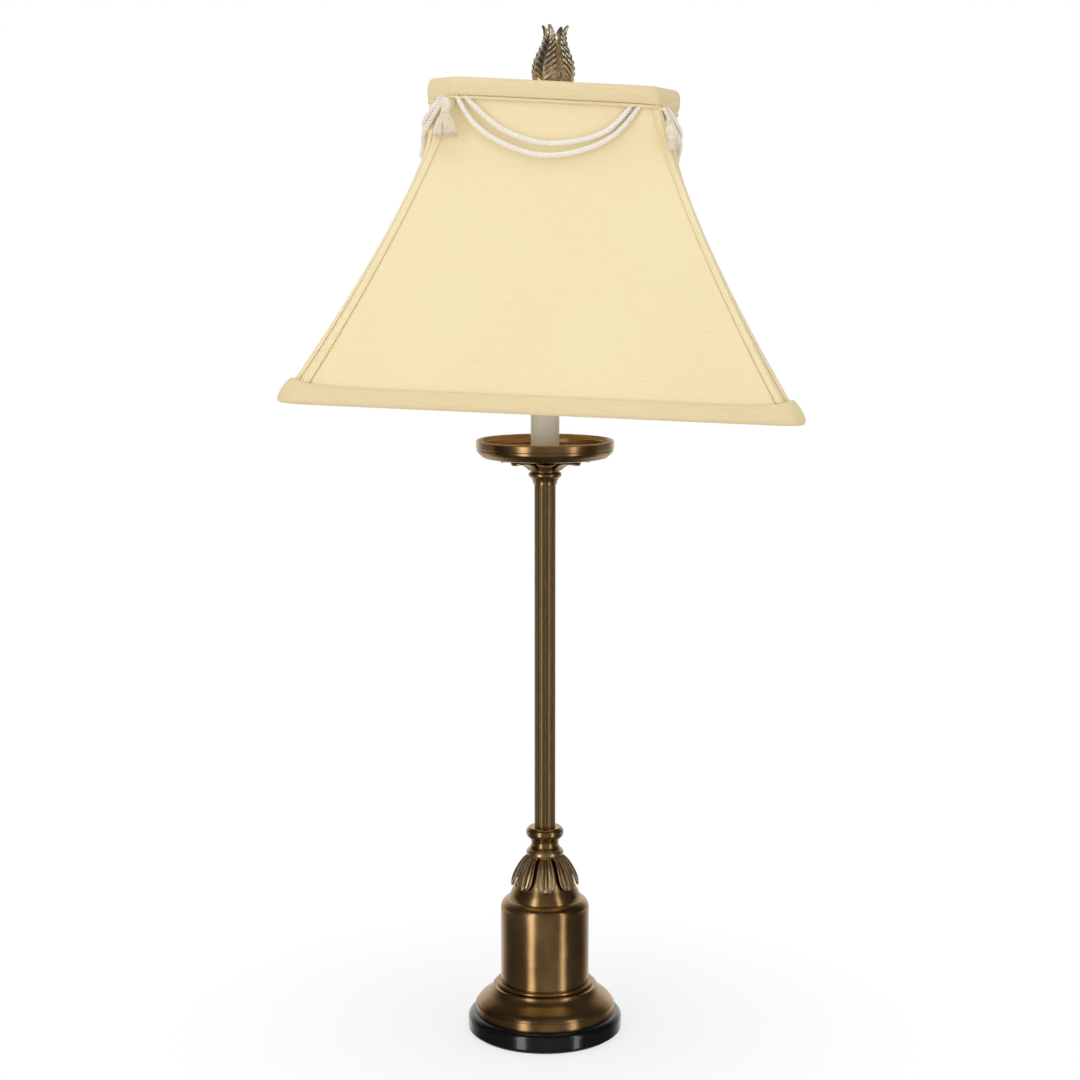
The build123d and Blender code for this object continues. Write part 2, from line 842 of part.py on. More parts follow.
def outline(height, offset):
    """Eight corners of the shade at a height, moved outwards by an offset."""
    quarter = [side_rib(height), front_rib(height)]
    corners = quarter + [(-x, y) for x, y in reversed(quarter)]
    corners += [(-x, -y) for x, y in corners]
    moved = []
    for index, (x, y) in enumerate(corners):
        before = corners[index - 1]
        after = corners[(index + 1) % 8]
        first = Vector(y - before[1], before[0] - x).normalized()
        second = Vector(after[1] - y, x - after[0]).normalized()
        push = (first + second) * (offset / (1 + first.dot(second)))
        moved.append((x + push.X, y + push.Y))
    return moved


def skin(section, heights):
    """Loft of flat closed sections, one for each height, straight from one to the next."""
    faces = [Pos(0, 0, z) * make_face(Polyline(*section(z), close=True)) for z in heights]
    return loft(faces, ruled=True)


def make_long_panel(side):
    def section(height):
        x, y = front_rib(height)
        x -= seam_gap
        inner = y - fabric_thickness
        return [(-x, side * y), (x, side * y), (x, side * inner), (-x, side * inner)]

    return seat_frame * skin(section, shade_rows)


def make_short_panel(side):
    def section(height):
        x, y = side_rib(height)
        y -= seam_gap
        inner = x - fabric_thickness
        return [(side * x, -y), (side * x, y), (side * inner, y), (side * inner, -y)]

    return seat_frame * skin(section, shade_rows)


def make_corner_panel(side_x, side_y):
    def section(height):
        start = Vector(*front_rib(height))
        end = Vector(*side_rib(height))
        run = (end - start).normalized()
        start += run * seam_gap
        end -= run * seam_gap
        inwards = Vector(run.Y, -run.X) * fabric_thickness
        if inwards.dot(start) > 0:
            inwards = inwards * -1
        corners = [start, end, end + inwards, start + inwards]
        return [(side_x * point.X, side_y * point.Y) for point in corners]

    return seat_frame * skin(section, shade_rows)


def ring_band(high, low, thickness, crown):
    """Sewn band round the shade, with a gentle bulge and a plain inner face."""
    bulges = ((0, 0.0), (0.08, 0.4), (0.24, 0.8), (0.5, 1.0), (0.76, 0.8), (0.92, 0.4), (1, 0.0))
    faces = []
    for share, bulge in bulges:
        z = high + (low - high) * share
        corners = outline(z, seat_gap + thickness + crown * bulge)
        section = make_face(Polyline(*corners, close=True))
        faces.append(Pos(0, 0, z) * fillet(section.vertices(), band_corner_round))
    inner = skin(lambda z: outline(z, seat_gap), [high, low])
    return seat_frame * (loft(faces, ruled=True) - inner)


def make_top_band():
    return ring_band(shade_top, band_low, band_thickness, top_band_crown)


def make_top_piping():
    return ring_band(band_low - 0.2, piping_low, piping_thickness - 0.8, 0.9)


def make_bottom_band():
    return ring_band(bottom_band_high, shade_bottom, band_thickness, bottom_band_crown)


def make_corner_trims():
    """Eight flat strips, one folded over each rib seam between the bands."""
    heights = rows_between(bottom_band_high + 0.3, piping_low - 0.3)
    half = corner_trim_width / 2
    strips = []
    for rib, other, along_panel, panel_out in (
        (front_rib, side_rib, Vector(-1, 0), Vector(0, 1)),
        (side_rib, front_rib, Vector(0, -1), Vector(1, 0)),
    ):

        def section(height):
            corner = Vector(*rib(height))
            run = Vector(*other(height)) - corner
            along_corner = run.normalized()
            corner_out = Vector(along_corner.Y, -along_corner.X)
            if corner_out.dot(corner) < 0:
                corner_out = corner_out * -1
            mitre = (panel_out + corner_out) * (1 / (1 + panel_out.dot(corner_out)))
            near = seat_gap
            outer = seat_gap + corner_trim_thickness
            reach = min(half, run.length / 2 - seat_gap)
            points = [
                corner + along_panel * half + panel_out * near,
                corner + mitre * near,
                corner + along_corner * reach + corner_out * near,
                corner + along_corner * reach + corner_out * outer,
                corner + mitre * outer,
                corner + along_panel * half + panel_out * outer,
            ]
            return [(point.X, point.Y) for point in points]

        strip = skin(section, heights)
        across = mirror(strip, Plane.YZ)
        strips += [strip, across, mirror(strip, Plane.XZ), mirror(across, Plane.XZ)]
    return seat_frame * Compound(children=strips)


# ---------------------------------------------------------------- shade frame
ring_inset = fabric_thickness + seat_gap + ring_wire_radius
top_ring_z = shade_top - ring_wire_radius - 1.0
bottom_ring_z = shade_bottom + ring_wire_radius + 1.0
bottom_ring_inset = ring_inset + 0.6


def make_wire_ring(height, inset):
    corners = [(x, y, height) for x, y in outline(height, -inset)]
    path = FilletPolyline(*corners, radius=4.0, close=True)
    section = Plane(origin=path @ 0, z_dir=path % 0) * Circle(ring_wire_radius)
    return seat_frame * sweep(section, path=path)


def make_shade_ribs():
    """Eight formed wires inside the seams, from ring to ring."""
    high = top_ring_z - ring_wire_radius - 0.2
    low = bottom_ring_z + ring_wire_radius + 0.2
    inset = fabric_thickness + seat_gap + rib_width * 0.8
    half = rib_width / 2
    wires = []
    for corner_index in (0, 1):

        def section(height):
            x, y = outline(height, -inset)[corner_index]
            return [(x - half, y - half), (x + half, y - half), (x + half, y + half), (x - half, y + half)]

        wire = skin(section, rows_between(low, high))
        across = mirror(wire, Plane.YZ)
        wires += [wire, across, mirror(wire, Plane.XZ), mirror(across, Plane.XZ)]
    return seat_frame * Compound(children=wires)


def make_shade_spider():
    """Hub that drops over the stud, with four wires up to the top ring."""
    shape = extrude(Circle(spider_hub_radius) - Circle(stud_radius + spider_hole_gap), spider_hub_thickness)
    height = spider_hub_thickness / 2 + 0.9
    inset = ring_inset + ring_wire_radius + 0.2
    half_depth, half_length = shade_ribs_at(top_ring_z)[1:3]
    start = spider_hub_radius - 2.5
    for angle, reach in ((0, half_length), (90, half_depth), (180, half_length), (270, half_depth)):
        end = reach - inset
        points = [(start, 0, height), (start + 16, 0, height), (end - 9, 0, top_ring_z), (end, 0, top_ring_z)]
        path = FilletPolyline(*points, radius=6.0)
        section = Plane(origin=points[0], z_dir=(1, 0, 0)) * Circle(spider_wire_radius)
        shape = shape + Rotation(0, 0, angle) * sweep(section, path=path)
    return seat_frame * shape


# ---------------------------------------------------------------- swag ropes
rope_radius = rope_diameter / 2
rope_stand = seat_gap + corner_trim_thickness + seat_gap + rope_radius
rope_end = piping_low - 0.3

# Points along each strand: distance along the shade from the middle of its side, and height.
long_upper = [
    (-65.2, rope_end), (-54.0, -6.2), (-40.6, -16.4), (-22.4, -23.8), (-5.5, -26.6),
    (13.0, -24.6), (31.5, -19.3), (45.3, -11.2), (56.0, rope_end),
]
long_lower = [
    (-71.5, rope_end), (-65.0, -7.2), (-57.0, -15.9), (-46.0, -23.6), (-30.0, -30.4),
    (-13.5, -34.9), (3.0, -34.6), (20.0, -30.7), (35.0, -24.3), (50.0, -14.4), (62.4, rope_end),
]
short_upper_half = [(61.6, rope_end), (0, -11.0), (28.0, -21.5), (10.0, -27.0)]
short_lower_half = [(65.4, rope_end), (0, -19.0), (28.0, -31.0), (10.0, -37.0)]
corner_extra = 1.4      # further out where a strand bends round the side rib
corner_reach = 5.8      # of the two points that make that bend, to either side of the rib


def on_long_side(route):
    return [(x, -(front_rib(z)[1] + rope_stand), z) for x, z in route]


def on_short_side(distance, height, extra=0.0):
    """Point in front of the -X side, carried on round the corner panel in the -Y direction."""
    ring = outline(height, rope_stand + extra)
    corner, rib = Vector(*ring[4]), Vector(*ring[5])
    if distance <= -corner.Y:
        return (corner.X, -distance, height)
    point = corner + (rib - corner).normalized() * (distance + corner.Y)
    return (point.X, point.Y, height)


def side_strand(half):
    """A strand of the short side; the point at distance 0 stands for the side rib itself."""
    route = []
    for distance, height in half:
        if distance:
            route.append(on_short_side(distance, height))
        else:
            bend = side_rib(height)[1] + rope_stand / 2
            for step in (corner_reach, -corner_reach):
                route.append(on_short_side(bend + step, height + step * 0.6, corner_extra))
    return route + [(x, -y, z) for x, y, z in reversed(route)]


def rope(points):
    """One strand: straight runs joined by tangent arcs as large as the runs allow."""
    radii = []
    for before, here, after in zip(points, points[1:], points[2:]):
        first = Vector(*here) - Vector(*before)
        second = Vector(*after) - Vector(*here)
        turn = math.radians(first.get_angle(second))
        radii.append(0.45 * min(first.length, second.length) / math.tan(turn / 2))
    path = FilletPolyline(*points, radius=radii)
    section = Plane(origin=points[0], z_dir=path % 0) * Circle(rope_radius)
    strand = sweep(section, path=path)
    share = strand.volume / (path.length * math.pi * rope_radius ** 2)
    print("rope length %.1f, volume share %.3f, radii" % (path.length, share), [round(r) for r in radii])
    return strand


def make_swag(routes, turn):
    strands = [Rotation(0, 0, turn) * rope(route) for route in routes]
    return seat_frame * Compound(children=strands)


# ---------------------------------------------------------------- tassels
tassel_z = rope_end - 0.3
tassel_stand = rope_stand + rope_radius + seat_gap + tassel_skirt_depth / 2
tie_stand = 2 * seat_gap + corner_trim_thickness + tassel_string_radius + 0.1


def tassel_body(length, width, depth):
    """Head, binding and skirt, hanging down from the origin; the skirt lies flat to the Y axis."""
    radius = tassel_head_radius
    neck = radius * 0.8
    edges = [
        Line((0, 0), (1.0, 0)),
        ThreePointArc((1.0, 0), (radius, -4.6), (neck, -8.2)),
        Line((neck, -8.2), (neck, -10.4)),
        Line((neck, -10.4), (0, -10.4)),
        Line((0, -10.4), (0, 0)),
    ]
    head = turned(*edges)
    rows = ((10.0, neck * 1.07, neck * 1.06), (length, width / 2, depth / 2))
    skirt = loft([Pos(0, 0, -drop) * Ellipse(wide, deep) for drop, wide, deep in rows])
    return head + skirt


def hung(side_x, side_y, stand, shape):
    """Places a tassel in front of its rib, drawn as if it faced -Y and hung from the origin."""
    outward = Vector(side_x, side_y * (1 + math.sqrt(2))).normalized()
    x, y = front_rib(tassel_z)
    anchor = Vector(side_x * x, side_y * y) + outward * stand
    turn = math.degrees(math.atan2(outward.Y, outward.X)) + 90
    return seat_frame * Pos(anchor.X, anchor.Y, tassel_z) * Rotation(0, 0, turn) * shape


def string_between(start, end):
    run = end - start
    return extrude(Plane(origin=start, z_dir=run) * Circle(tassel_string_radius), run.length)


def tie(stand):
    """String from the seam under the piping out to where the tassel hangs."""
    return string_between(Vector(0, stand - tie_stand, 0), Vector(0, 0, -1.2))


def make_straight_tassel(side_x, side_y):
    body = tassel_body(tassel_length, tassel_skirt_width, tassel_skirt_depth)
    return hung(side_x, side_y, tassel_stand, tie(tassel_stand) + body)


def make_stringed_tassel(side_x, side_y):
    """Closed tassel on a thin string and a small loop, lying to the side, over the corner panel."""
    stand = tassel_stand + slim_tassel_extra
    sway = math.radians(tassel_string_sway)
    start = Vector(0, 0, -1.2)
    end = start + Vector(math.sin(sway), 0, -math.cos(sway)) * tassel_string_length
    knots = Pos(start.X, 0, start.Z) * Sphere(1.3) + Pos(end.X, 0, end.Z) * Sphere(1.3)
    loop = Pos(end.X + 0.5, 0, end.Z - 1.7) * Rotation(90, 0, 0) * Torus(2.1, 0.9)
    body = tassel_body(slim_tassel_length, slim_tassel_width, slim_tassel_depth)
    body = Pos(end.X + 0.8, 0, end.Z - 3.3) * Rotation(0, -tassel_body_sway, 0) * body
    return hung(side_x, side_y, stand, tie(stand) + string_between(start, end) + knots + loop + body)


# ---------------------------------------------------------------- finial
def make_finial():
    """Threaded stem and cup with four upright leaves that curl outwards at their tips."""
    low = spider_hub_thickness + 0.2
    root = low + finial_height * 0.2
    stem = polygon_turned(
        (stud_radius + 0.1, low),
        (finial_stem_radius, low),
        (finial_stem_radius, low + 2.0),
        (finial_stem_radius * 0.72, low + 4.0),
        (finial_stem_radius * 0.72, low + 6.0),
        (finial_stem_radius * 1.25, root),
        (finial_stem_radius * 1.0, root + 8.0),
        (0, root + 10.0),
        (0, low + stud_length),
        (stud_radius + 0.1, low + stud_length),
    )
    rows = (
        (finial_stem_radius * 0.9, 0.16, 0.32),
        (finial_bulge * 0.80, 0.28, 0.78),
        (finial_bulge, 0.43, 1.0),
        (finial_bulge * 0.90, 0.60, 0.86),
        (finial_waist, 0.83, 0.50),
        (finial_waist * 1.02, 0.92, 0.32),
        (finial_tip_radius, 1.0, 0.08),
    )
    line = [(radius, low + share * finial_height) for radius, share, _ in rows]
    widths = [share * finial_leaf_width for _, _, share in rows]
    blade = leaf(line, widths, finial_leaf_thickness, 3.2, 0.7, -1)
    shape = stem
    for copy in leaf_ring(blade, finial_leaf_count, finial_phase):
        shape = shape + copy
    return seat_frame * shape


# ---------------------------------------------------------------- write the pieces
save(make_felt_pad(), "felt_pad")
save(make_plinth(), "plinth")
save(make_cord_bushing(), "cord_bushing")
save(make_base_weight(), "base_weight")
save(make_foot_flange(), "foot_flange")
save(make_drum(), "drum")
save(make_shoulder_cone(), "shoulder_cone")
save(make_leaf_collar(), "leaf_collar")
save(make_column_collar(), "column_collar")
save(make_column(), "column")
save(make_lamp_pipe(), "lamp_pipe")
save(make_base_washer(), "base_washer")
save(make_base_nut(), "base_nut")
save(make_cup_neck(), "cup_neck")
save(make_leaf_cup(), "leaf_cup")
save(make_drip_pan(), "drip_pan")
save(make_candle_seat(), "candle_seat")
save(make_candle_sleeve(), "candle_sleeve")
save(make_sleeve_cap(), "sleeve_cap")
save(make_harp_saddle(), "harp_saddle")
save(make_harp_bow(), "harp_bow")
save(make_harp_sleeve(-1), "harp_sleeve_left")
save(make_harp_sleeve(1), "harp_sleeve_right")
save(make_harp_seat(), "harp_seat")
save(make_socket_cap(), "socket_cap")
save(make_socket_shell(), "socket_shell")
save(make_socket_liner(), "socket_liner")
save(make_socket_core(), "socket_core")
save(make_screw_shell(), "screw_shell")
save(make_contact(), "centre_contact")
save(make_switch_knob(), "switch_knob")
save(make_bulb_cap(), "bulb_cap")
save(make_bulb_glass(), "bulb_glass")
save(make_long_panel(-1), "shade_panel_front")
save(make_long_panel(1), "shade_panel_back")
save(make_short_panel(-1), "shade_panel_left")
save(make_short_panel(1), "shade_panel_right")
for side_x, word_x in ((-1, "left"), (1, "right")):
    for side_y, word_y in ((-1, "front"), (1, "back")):
        save(make_corner_panel(side_x, side_y), f"corner_panel_{word_y}_{word_x}")
save(make_top_band(), "top_band")
save(make_top_piping(), "top_piping")
save(make_bottom_band(), "bottom_band")
save(make_corner_trims(), "corner_trims")
save(make_wire_ring(top_ring_z, ring_inset), "shade_ring_top")
save(make_wire_ring(bottom_ring_z, bottom_ring_inset), "shade_ring_bottom")
save(make_shade_ribs(), "shade_ribs")
save(make_shade_spider(), "shade_spider")
long_routes = [on_long_side(long_upper), on_long_side(long_lower)]
short_routes = [side_strand(short_upper_half), side_strand(short_lower_half)]
save(make_swag(long_routes, 0), "swag_front")
save(make_swag(long_routes, 180), "swag_back")
save(make_swag(short_routes, 0), "swag_left")
save(make_swag(short_routes, 180), "swag_right")
save(make_straight_tassel(-1, -1), "tassel_front_left")
save(make_stringed_tassel(1, -1), "tassel_front_right")
save(make_straight_tassel(1, 1), "tassel_back_right")
save(make_stringed_tassel(-1, 1), "tassel_back_left")
save(make_finial(), "finial")
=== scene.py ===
import math
import random

import bmesh
import bpy
from mathutils import Matrix, Vector


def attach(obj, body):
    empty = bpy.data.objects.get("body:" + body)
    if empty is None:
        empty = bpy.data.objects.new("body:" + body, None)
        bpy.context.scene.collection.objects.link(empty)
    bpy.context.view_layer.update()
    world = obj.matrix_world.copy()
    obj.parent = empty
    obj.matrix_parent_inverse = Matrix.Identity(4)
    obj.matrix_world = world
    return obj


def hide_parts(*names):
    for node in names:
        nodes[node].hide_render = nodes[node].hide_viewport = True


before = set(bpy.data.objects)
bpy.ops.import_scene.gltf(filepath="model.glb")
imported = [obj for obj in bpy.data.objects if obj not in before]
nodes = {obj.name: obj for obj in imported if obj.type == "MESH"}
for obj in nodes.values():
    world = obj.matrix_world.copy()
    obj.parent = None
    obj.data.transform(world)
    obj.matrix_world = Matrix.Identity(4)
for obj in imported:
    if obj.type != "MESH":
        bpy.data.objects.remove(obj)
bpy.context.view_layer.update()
mm = 0.001
print("frame loaded,", len(nodes), "nodes")


def toLinear(hexText):
    parts = [int(hexText[i : i + 2], 16) / 255 for i in (1, 3, 5)]
    return tuple(c / 12.92 if c <= 0.04045 else ((c + 0.055) / 1.055) ** 2.4 for c in parts) + (1.0,)


def addNode(tree, kind, values=None, links=None, **settings):
    node = tree.nodes.new(kind)
    for name, value in settings.items():
        setattr(node, name, value)
    for socket, value in (values or {}).items():
        node.inputs[socket].default_value = value
    for socket, source in (links or {}).items():
        tree.links.new(source, node.inputs[socket])
    return node


def newMaterial(name, color, **values):
    material = bpy.data.materials.new(name)
    material.use_nodes = True
    tree = material.node_tree
    shader = tree.nodes["Principled BSDF"]
    shader.inputs["Base Color"].default_value = toLinear(color)
    for socket, value in values.items():
        shader.inputs[socket.replace("_", " ")].default_value = value
    material.diffuse_color = toLinear(color)
    return material, tree, shader


def colorRamp(tree, source, stops):
    ramp = addNode(tree, "ShaderNodeValToRGB", links={"Fac": source})
    elements = ramp.color_ramp.elements
    while len(elements) < len(stops):
        elements.new(0.5)
    for element, (place, hexText) in zip(elements, stops):
        element.position = place
        element.color = toLinear(hexText)
    return ramp.outputs["Color"]


def objectPlaces(tree, scale=(1, 1, 1)):
    place = addNode(tree, "ShaderNodeTexCoord")
    spread = addNode(tree, "ShaderNodeMapping", {"Scale": scale}, {"Vector": place.outputs["Object"]})
    return spread.outputs["Vector"]


def finishSurface(tree, shader, tones, stops, heights, relief):
    # tones drive the colour through stops; heights stand out in the light by relief, its strength and
    # its depth in metres
    if stops:
        tree.links.new(colorRamp(tree, tones, stops), shader.inputs["Base Color"])
    if relief:
        strength, depth = relief
        bump = addNode(tree, "ShaderNodeBump", {"Strength": strength, "Distance": depth}, {"Height": heights})
        tree.links.new(bump.outputs["Normal"], shader.inputs["Normal"])


def makeGrained(name, color, scale, detail, stops=None, relief=None, stretch=(1, 1, 1), **values):
    # a plain material: one noise over the object gives both its tones and its relief
    material, tree, shader = newMaterial(name, color, **values)
    grain = addNode(tree, "ShaderNodeTexNoise", {"Scale": scale, "Detail": detail}, {
        "Vector": objectPlaces(tree, stretch),
    }).outputs["Fac"]
    finishSurface(tree, shader, grain, stops, grain, relief)
    return material


def paint(material, *names):
    for name in names:
        for slot in nodes[name].material_slots:
            slot.link = "OBJECT"
            slot.material = material


cameraSet = {
    "azimuth": -1.7,      # degrees round the lamp, towards its left
    "pitch": 8.0,         # degrees down
    "distance": 1.696,
    "height": 0.634,
    "sideStep": -0.0039,
    "lens": 73.33,
}


def makeCamera():
    turn = math.radians(cameraSet["azimuth"])
    ahead = Vector((-math.sin(turn), math.cos(turn), 0))
    right = Vector((math.cos(turn), math.sin(turn), 0))
    data = bpy.data.cameras.new("camera")
    data.lens = cameraSet["lens"]
    data.sensor_width = 36
    camera = bpy.data.objects.new("camera", data)
    camera.location = right * cameraSet["sideStep"] - ahead * cameraSet["distance"]
    camera.location.z = cameraSet["height"]
    camera.rotation_euler = (math.radians(90 - cameraSet["pitch"]), 0, turn)
    bpy.context.collection.objects.link(camera)
    bpy.context.scene.camera = camera


lampSet = {
    # name: place, size across and up, watts
    "stripLeft": ((-1.14, -1.52, 0.10), (0.44, 2.60), 10.5),   # left of the drum's middle
    "stripRight": ((1.36, -1.32, 0.10), (0.26, 2.60), 6.0),
    "softTop": ((-0.3, -0.6, 2.3), (1.6, 1.4), 8.0),
    "softFront": ((-0.9, -2.7, 1.7), (2.0, 1.3), 3.8),
}
softAim = 0.45   # height that the soft lamps point at; a strip points level


def makeLamps():
    for name, (place, size, watts) in lampSet.items():
        data = bpy.data.lights.new(name, "AREA")
        data.shape = "RECTANGLE"
        data.size, data.size_y = size
        data.energy = watts
        lamp = bpy.data.objects.new(name, data)
        lamp.location = place
        strip = name.startswith("strip")
        lamp.visible_glossy = strip   # the soft lamps are too large to be mirrored
        target = Vector((0, 0, place[2] if strip else softAim))
        lamp.rotation_euler = (target - Vector(place)).to_track_quat("-Z", "Y").to_euler()
        bpy.context.collection.objects.link(lamp)


worldSet = {
    "fill": 0.66,              # even light on cloth and plastic
    "mirrored": [              # what metal mirrors, from straight in front (0) to straight behind (1)
        (0.0, "#8a857c"), (0.2, "#4a4742"), (0.5, "#302e2b"), (0.72, "#383633"),
        (0.84, "#a9a8a6"), (0.93, "#ffffff"),
    ],
}


def makeWorld():
    world = bpy.data.worlds.new("studio")
    bpy.context.scene.world = world
    world.use_nodes = True
    tree = world.node_tree
    tree.nodes.clear()
    place = addNode(tree, "ShaderNodeTexCoord")
    axes = addNode(tree, "ShaderNodeSeparateXYZ", links={"Vector": place.outputs["Generated"]})
    depth = addNode(tree, "ShaderNodeMapRange", {"From Min": -1.0, "From Max": 1.0}, {
        "Value": axes.outputs["Y"],
    })
    room = colorRamp(tree, depth.outputs["Result"], worldSet["mirrored"])
    even = addNode(tree, "ShaderNodeBackground", {"Color": (1, 1, 1, 1), "Strength": worldSet["fill"]})
    mirrored = addNode(tree, "ShaderNodeBackground", {"Strength": 1.0}, {"Color": room})
    seen = addNode(tree, "ShaderNodeBackground", {"Color": (1, 1, 1, 1), "Strength": 1.0})
    ray = addNode(tree, "ShaderNodeLightPath")
    gloss = addNode(tree, "ShaderNodeMixShader", links={
        0: ray.outputs["Is Glossy Ray"], 1: even.outputs["Background"], 2: mirrored.outputs["Background"],
    })
    direct = addNode(tree, "ShaderNodeMath", links={
        0: ray.outputs["Is Camera Ray"], 1: ray.outputs["Is Transmission Ray"],
    }, operation="MAXIMUM")
    both = addNode(tree, "ShaderNodeMixShader", links={
        0: direct.outputs["Value"], 1: gloss.outputs["Shader"], 2: seen.outputs["Background"],
    })
    addNode(tree, "ShaderNodeOutputWorld", links={"Surface": both.outputs["Shader"]})


floorSet = {   # metres
    "radius": 4.0,
    "sides": 96,
    "shadow": (0.05, 0.30),        # from the lamp's axis, where the shadow on the paper fades out
    "shadowWhite": 0.72,           # share of plain white in the shadow's middle
    "mirrorEdge": (0.5, 0.12),     # Y from which, and to which, metal begins to look past the paper
    "mirrorPast": 0.93,
}


def makeFloor():
    bpy.ops.object.select_all(action="DESELECT")
    bpy.ops.mesh.primitive_circle_add(vertices=floorSet["sides"], radius=floorSet["radius"], fill_type="NGON")
    floor = bpy.context.object
    floor.name = "studioFloor"
    material, tree, shader = newMaterial("white paper floor", "#f6f5f2", Roughness=0.9)
    ray = addNode(tree, "ShaderNodeLightPath")
    glow = addNode(tree, "ShaderNodeEmission", {"Color": (1, 1, 1, 1), "Strength": 1.0})
    opening = addNode(tree, "ShaderNodeBsdfTransparent")
    direct = addNode(tree, "ShaderNodeMath", links={
        0: ray.outputs["Is Camera Ray"], 1: ray.outputs["Is Transmission Ray"],
    }, operation="MAXIMUM")
    # the paper is white to the camera, with a little of the object's shadow left on it near the foot
    place = addNode(tree, "ShaderNodeTexCoord")
    away = addNode(tree, "ShaderNodeVectorMath", links={0: place.outputs["Object"]}, operation="LENGTH")
    near, far = floorSet["shadow"]
    fade = addNode(tree, "ShaderNodeMapRange", {
        "From Min": near, "From Max": far, "To Min": floorSet["shadowWhite"], "To Max": 1.0,
    }, {"Value": away.outputs["Value"]})
    white = addNode(tree, "ShaderNodeMath", links={
        0: direct.outputs["Value"], 1: fade.outputs["Result"],
    }, operation="MULTIPLY")
    paper = addNode(tree, "ShaderNodeMixShader", links={
        0: white.outputs["Value"], 1: shader.outputs["BSDF"], 2: glow.outputs["Emission"],
    })
    # metal looks past the paper's front edge into the darker room, and still mirrors the paper behind
    axes = addNode(tree, "ShaderNodeSeparateXYZ", links={"Vector": place.outputs["Object"]})
    behind, ahead = floorSet["mirrorEdge"]
    edge = addNode(tree, "ShaderNodeMapRange", {
        "From Min": behind, "From Max": ahead, "To Max": floorSet["mirrorPast"],
    }, {"Value": axes.outputs["Y"]})
    past = addNode(tree, "ShaderNodeMath", links={
        0: edge.outputs["Result"], 1: ray.outputs["Is Glossy Ray"],
    }, operation="MULTIPLY")
    both = addNode(tree, "ShaderNodeMixShader", links={
        0: past.outputs["Value"], 1: paper.outputs["Shader"], 2: opening.outputs["BSDF"],
    })
    tree.links.new(both.outputs["Shader"], tree.nodes["Material Output"].inputs["Surface"])
    floor.data.materials.append(material)


makeCamera()
makeLamps()
makeWorld()
makeFloor()
bpy.context.scene.view_settings.view_transform = "Standard"
print("camera, lamps and floor ready")


def makeTurnedBrass():
    # brass turned and polished on a lathe, then antiqued: dark bronze satin with very fine turning lines
    material, tree, shader = newMaterial("antiqued turned brass", "#a8875c", Metallic=1.0, Roughness=0.27)
    lines = addNode(tree, "ShaderNodeTexNoise", {"Scale": 1.0, "Detail": 3.0}, {
        "Vector": objectPlaces(tree, (8, 8, 1400)),   # 0.7 mm apart, so that they show
    })
    cloud = addNode(tree, "ShaderNodeTexNoise", {"Scale": 30.0, "Detail": 4.0, "Roughness": 0.55}, {
        "Vector": objectPlaces(tree, (1, 1, 0.6)),
    })
    total = addNode(tree, "ShaderNodeMath", {1: 0.25}, {
        0: lines.outputs["Fac"], 2: cloud.outputs["Fac"],
    }, operation="MULTIPLY_ADD")
    stops = [(0.44, "#8c6f4a"), (0.62, "#a8875c"), (0.8, "#bd9d70")]
    finishSurface(tree, shader, total.outputs["Value"], stops, None, None)
    rough = addNode(tree, "ShaderNodeMapRange", {
        "From Min": 0.3, "From Max": 0.7, "To Min": 0.21, "To Max": 0.28,
    }, {"Value": cloud.outputs["Fac"]})
    tree.links.new(rough.outputs["Result"], shader.inputs["Roughness"])
    return material


def makeCastBrass(name, cavity, tones, mark=None):
    # sand-cast brass, antiqued: black-brown in the hollows, partly patina and partly painted shade from
    # ambient occlusion, and the ridges lighter, partly rubbed bright and partly a painted highlight;
    # hollows are looked for within cavity, in metres, and mark names an attribute of the mesh
    material, tree, shader = newMaterial(name, "#a98a60", Metallic=1.0, Roughness=0.3)
    # painted shade: ambient occlusion darkens the hollows, over the patina that is there
    hollowShade = addNode(tree, "ShaderNodeAmbientOcclusion", {"Distance": cavity}, samples=8, only_local=True)
    grain = addNode(tree, "ShaderNodeTexNoise", {"Scale": 320.0, "Detail": 4.0}, {
        "Vector": objectPlaces(tree),
    })
    stainAndShade = addNode(tree, "ShaderNodeMath", {1: 0.22}, {
        0: grain.outputs["Fac"], 2: hollowShade.outputs["AO"],
    }, operation="MULTIPLY_ADD")
    # partly a painted highlight: the ridge mark lightens the raised veins and ridges
    if mark:
        cut = addNode(tree, "ShaderNodeAttribute", attribute_name=mark)
        stainAndShade = addNode(tree, "ShaderNodeMath", {1: 0.5}, {
            0: cut.outputs["Fac"], 2: stainAndShade.outputs["Value"],
        }, operation="MULTIPLY_ADD")
        stainAndShade = addNode(tree, "ShaderNodeMath", {1: 0.22}, {0: stainAndShade.outputs["Value"]}, operation="SUBTRACT")
    stops = list(zip((0.45, 0.72, 0.92, 1.0), tones))
    finishSurface(tree, shader, stainAndShade.outputs["Value"], stops, grain.outputs["Fac"], (0.12, 0.0003))
    return material


def surfacePlaces(tree, scale):
    # the piece's own map: millimetres on silk, and round by length on yarn
    place = addNode(tree, "ShaderNodeUVMap", uv_map="surface")
    spread = addNode(tree, "ShaderNodeMapping", {"Scale": scale}, {"Vector": place.outputs["UV"]})
    return spread.outputs["Vector"]


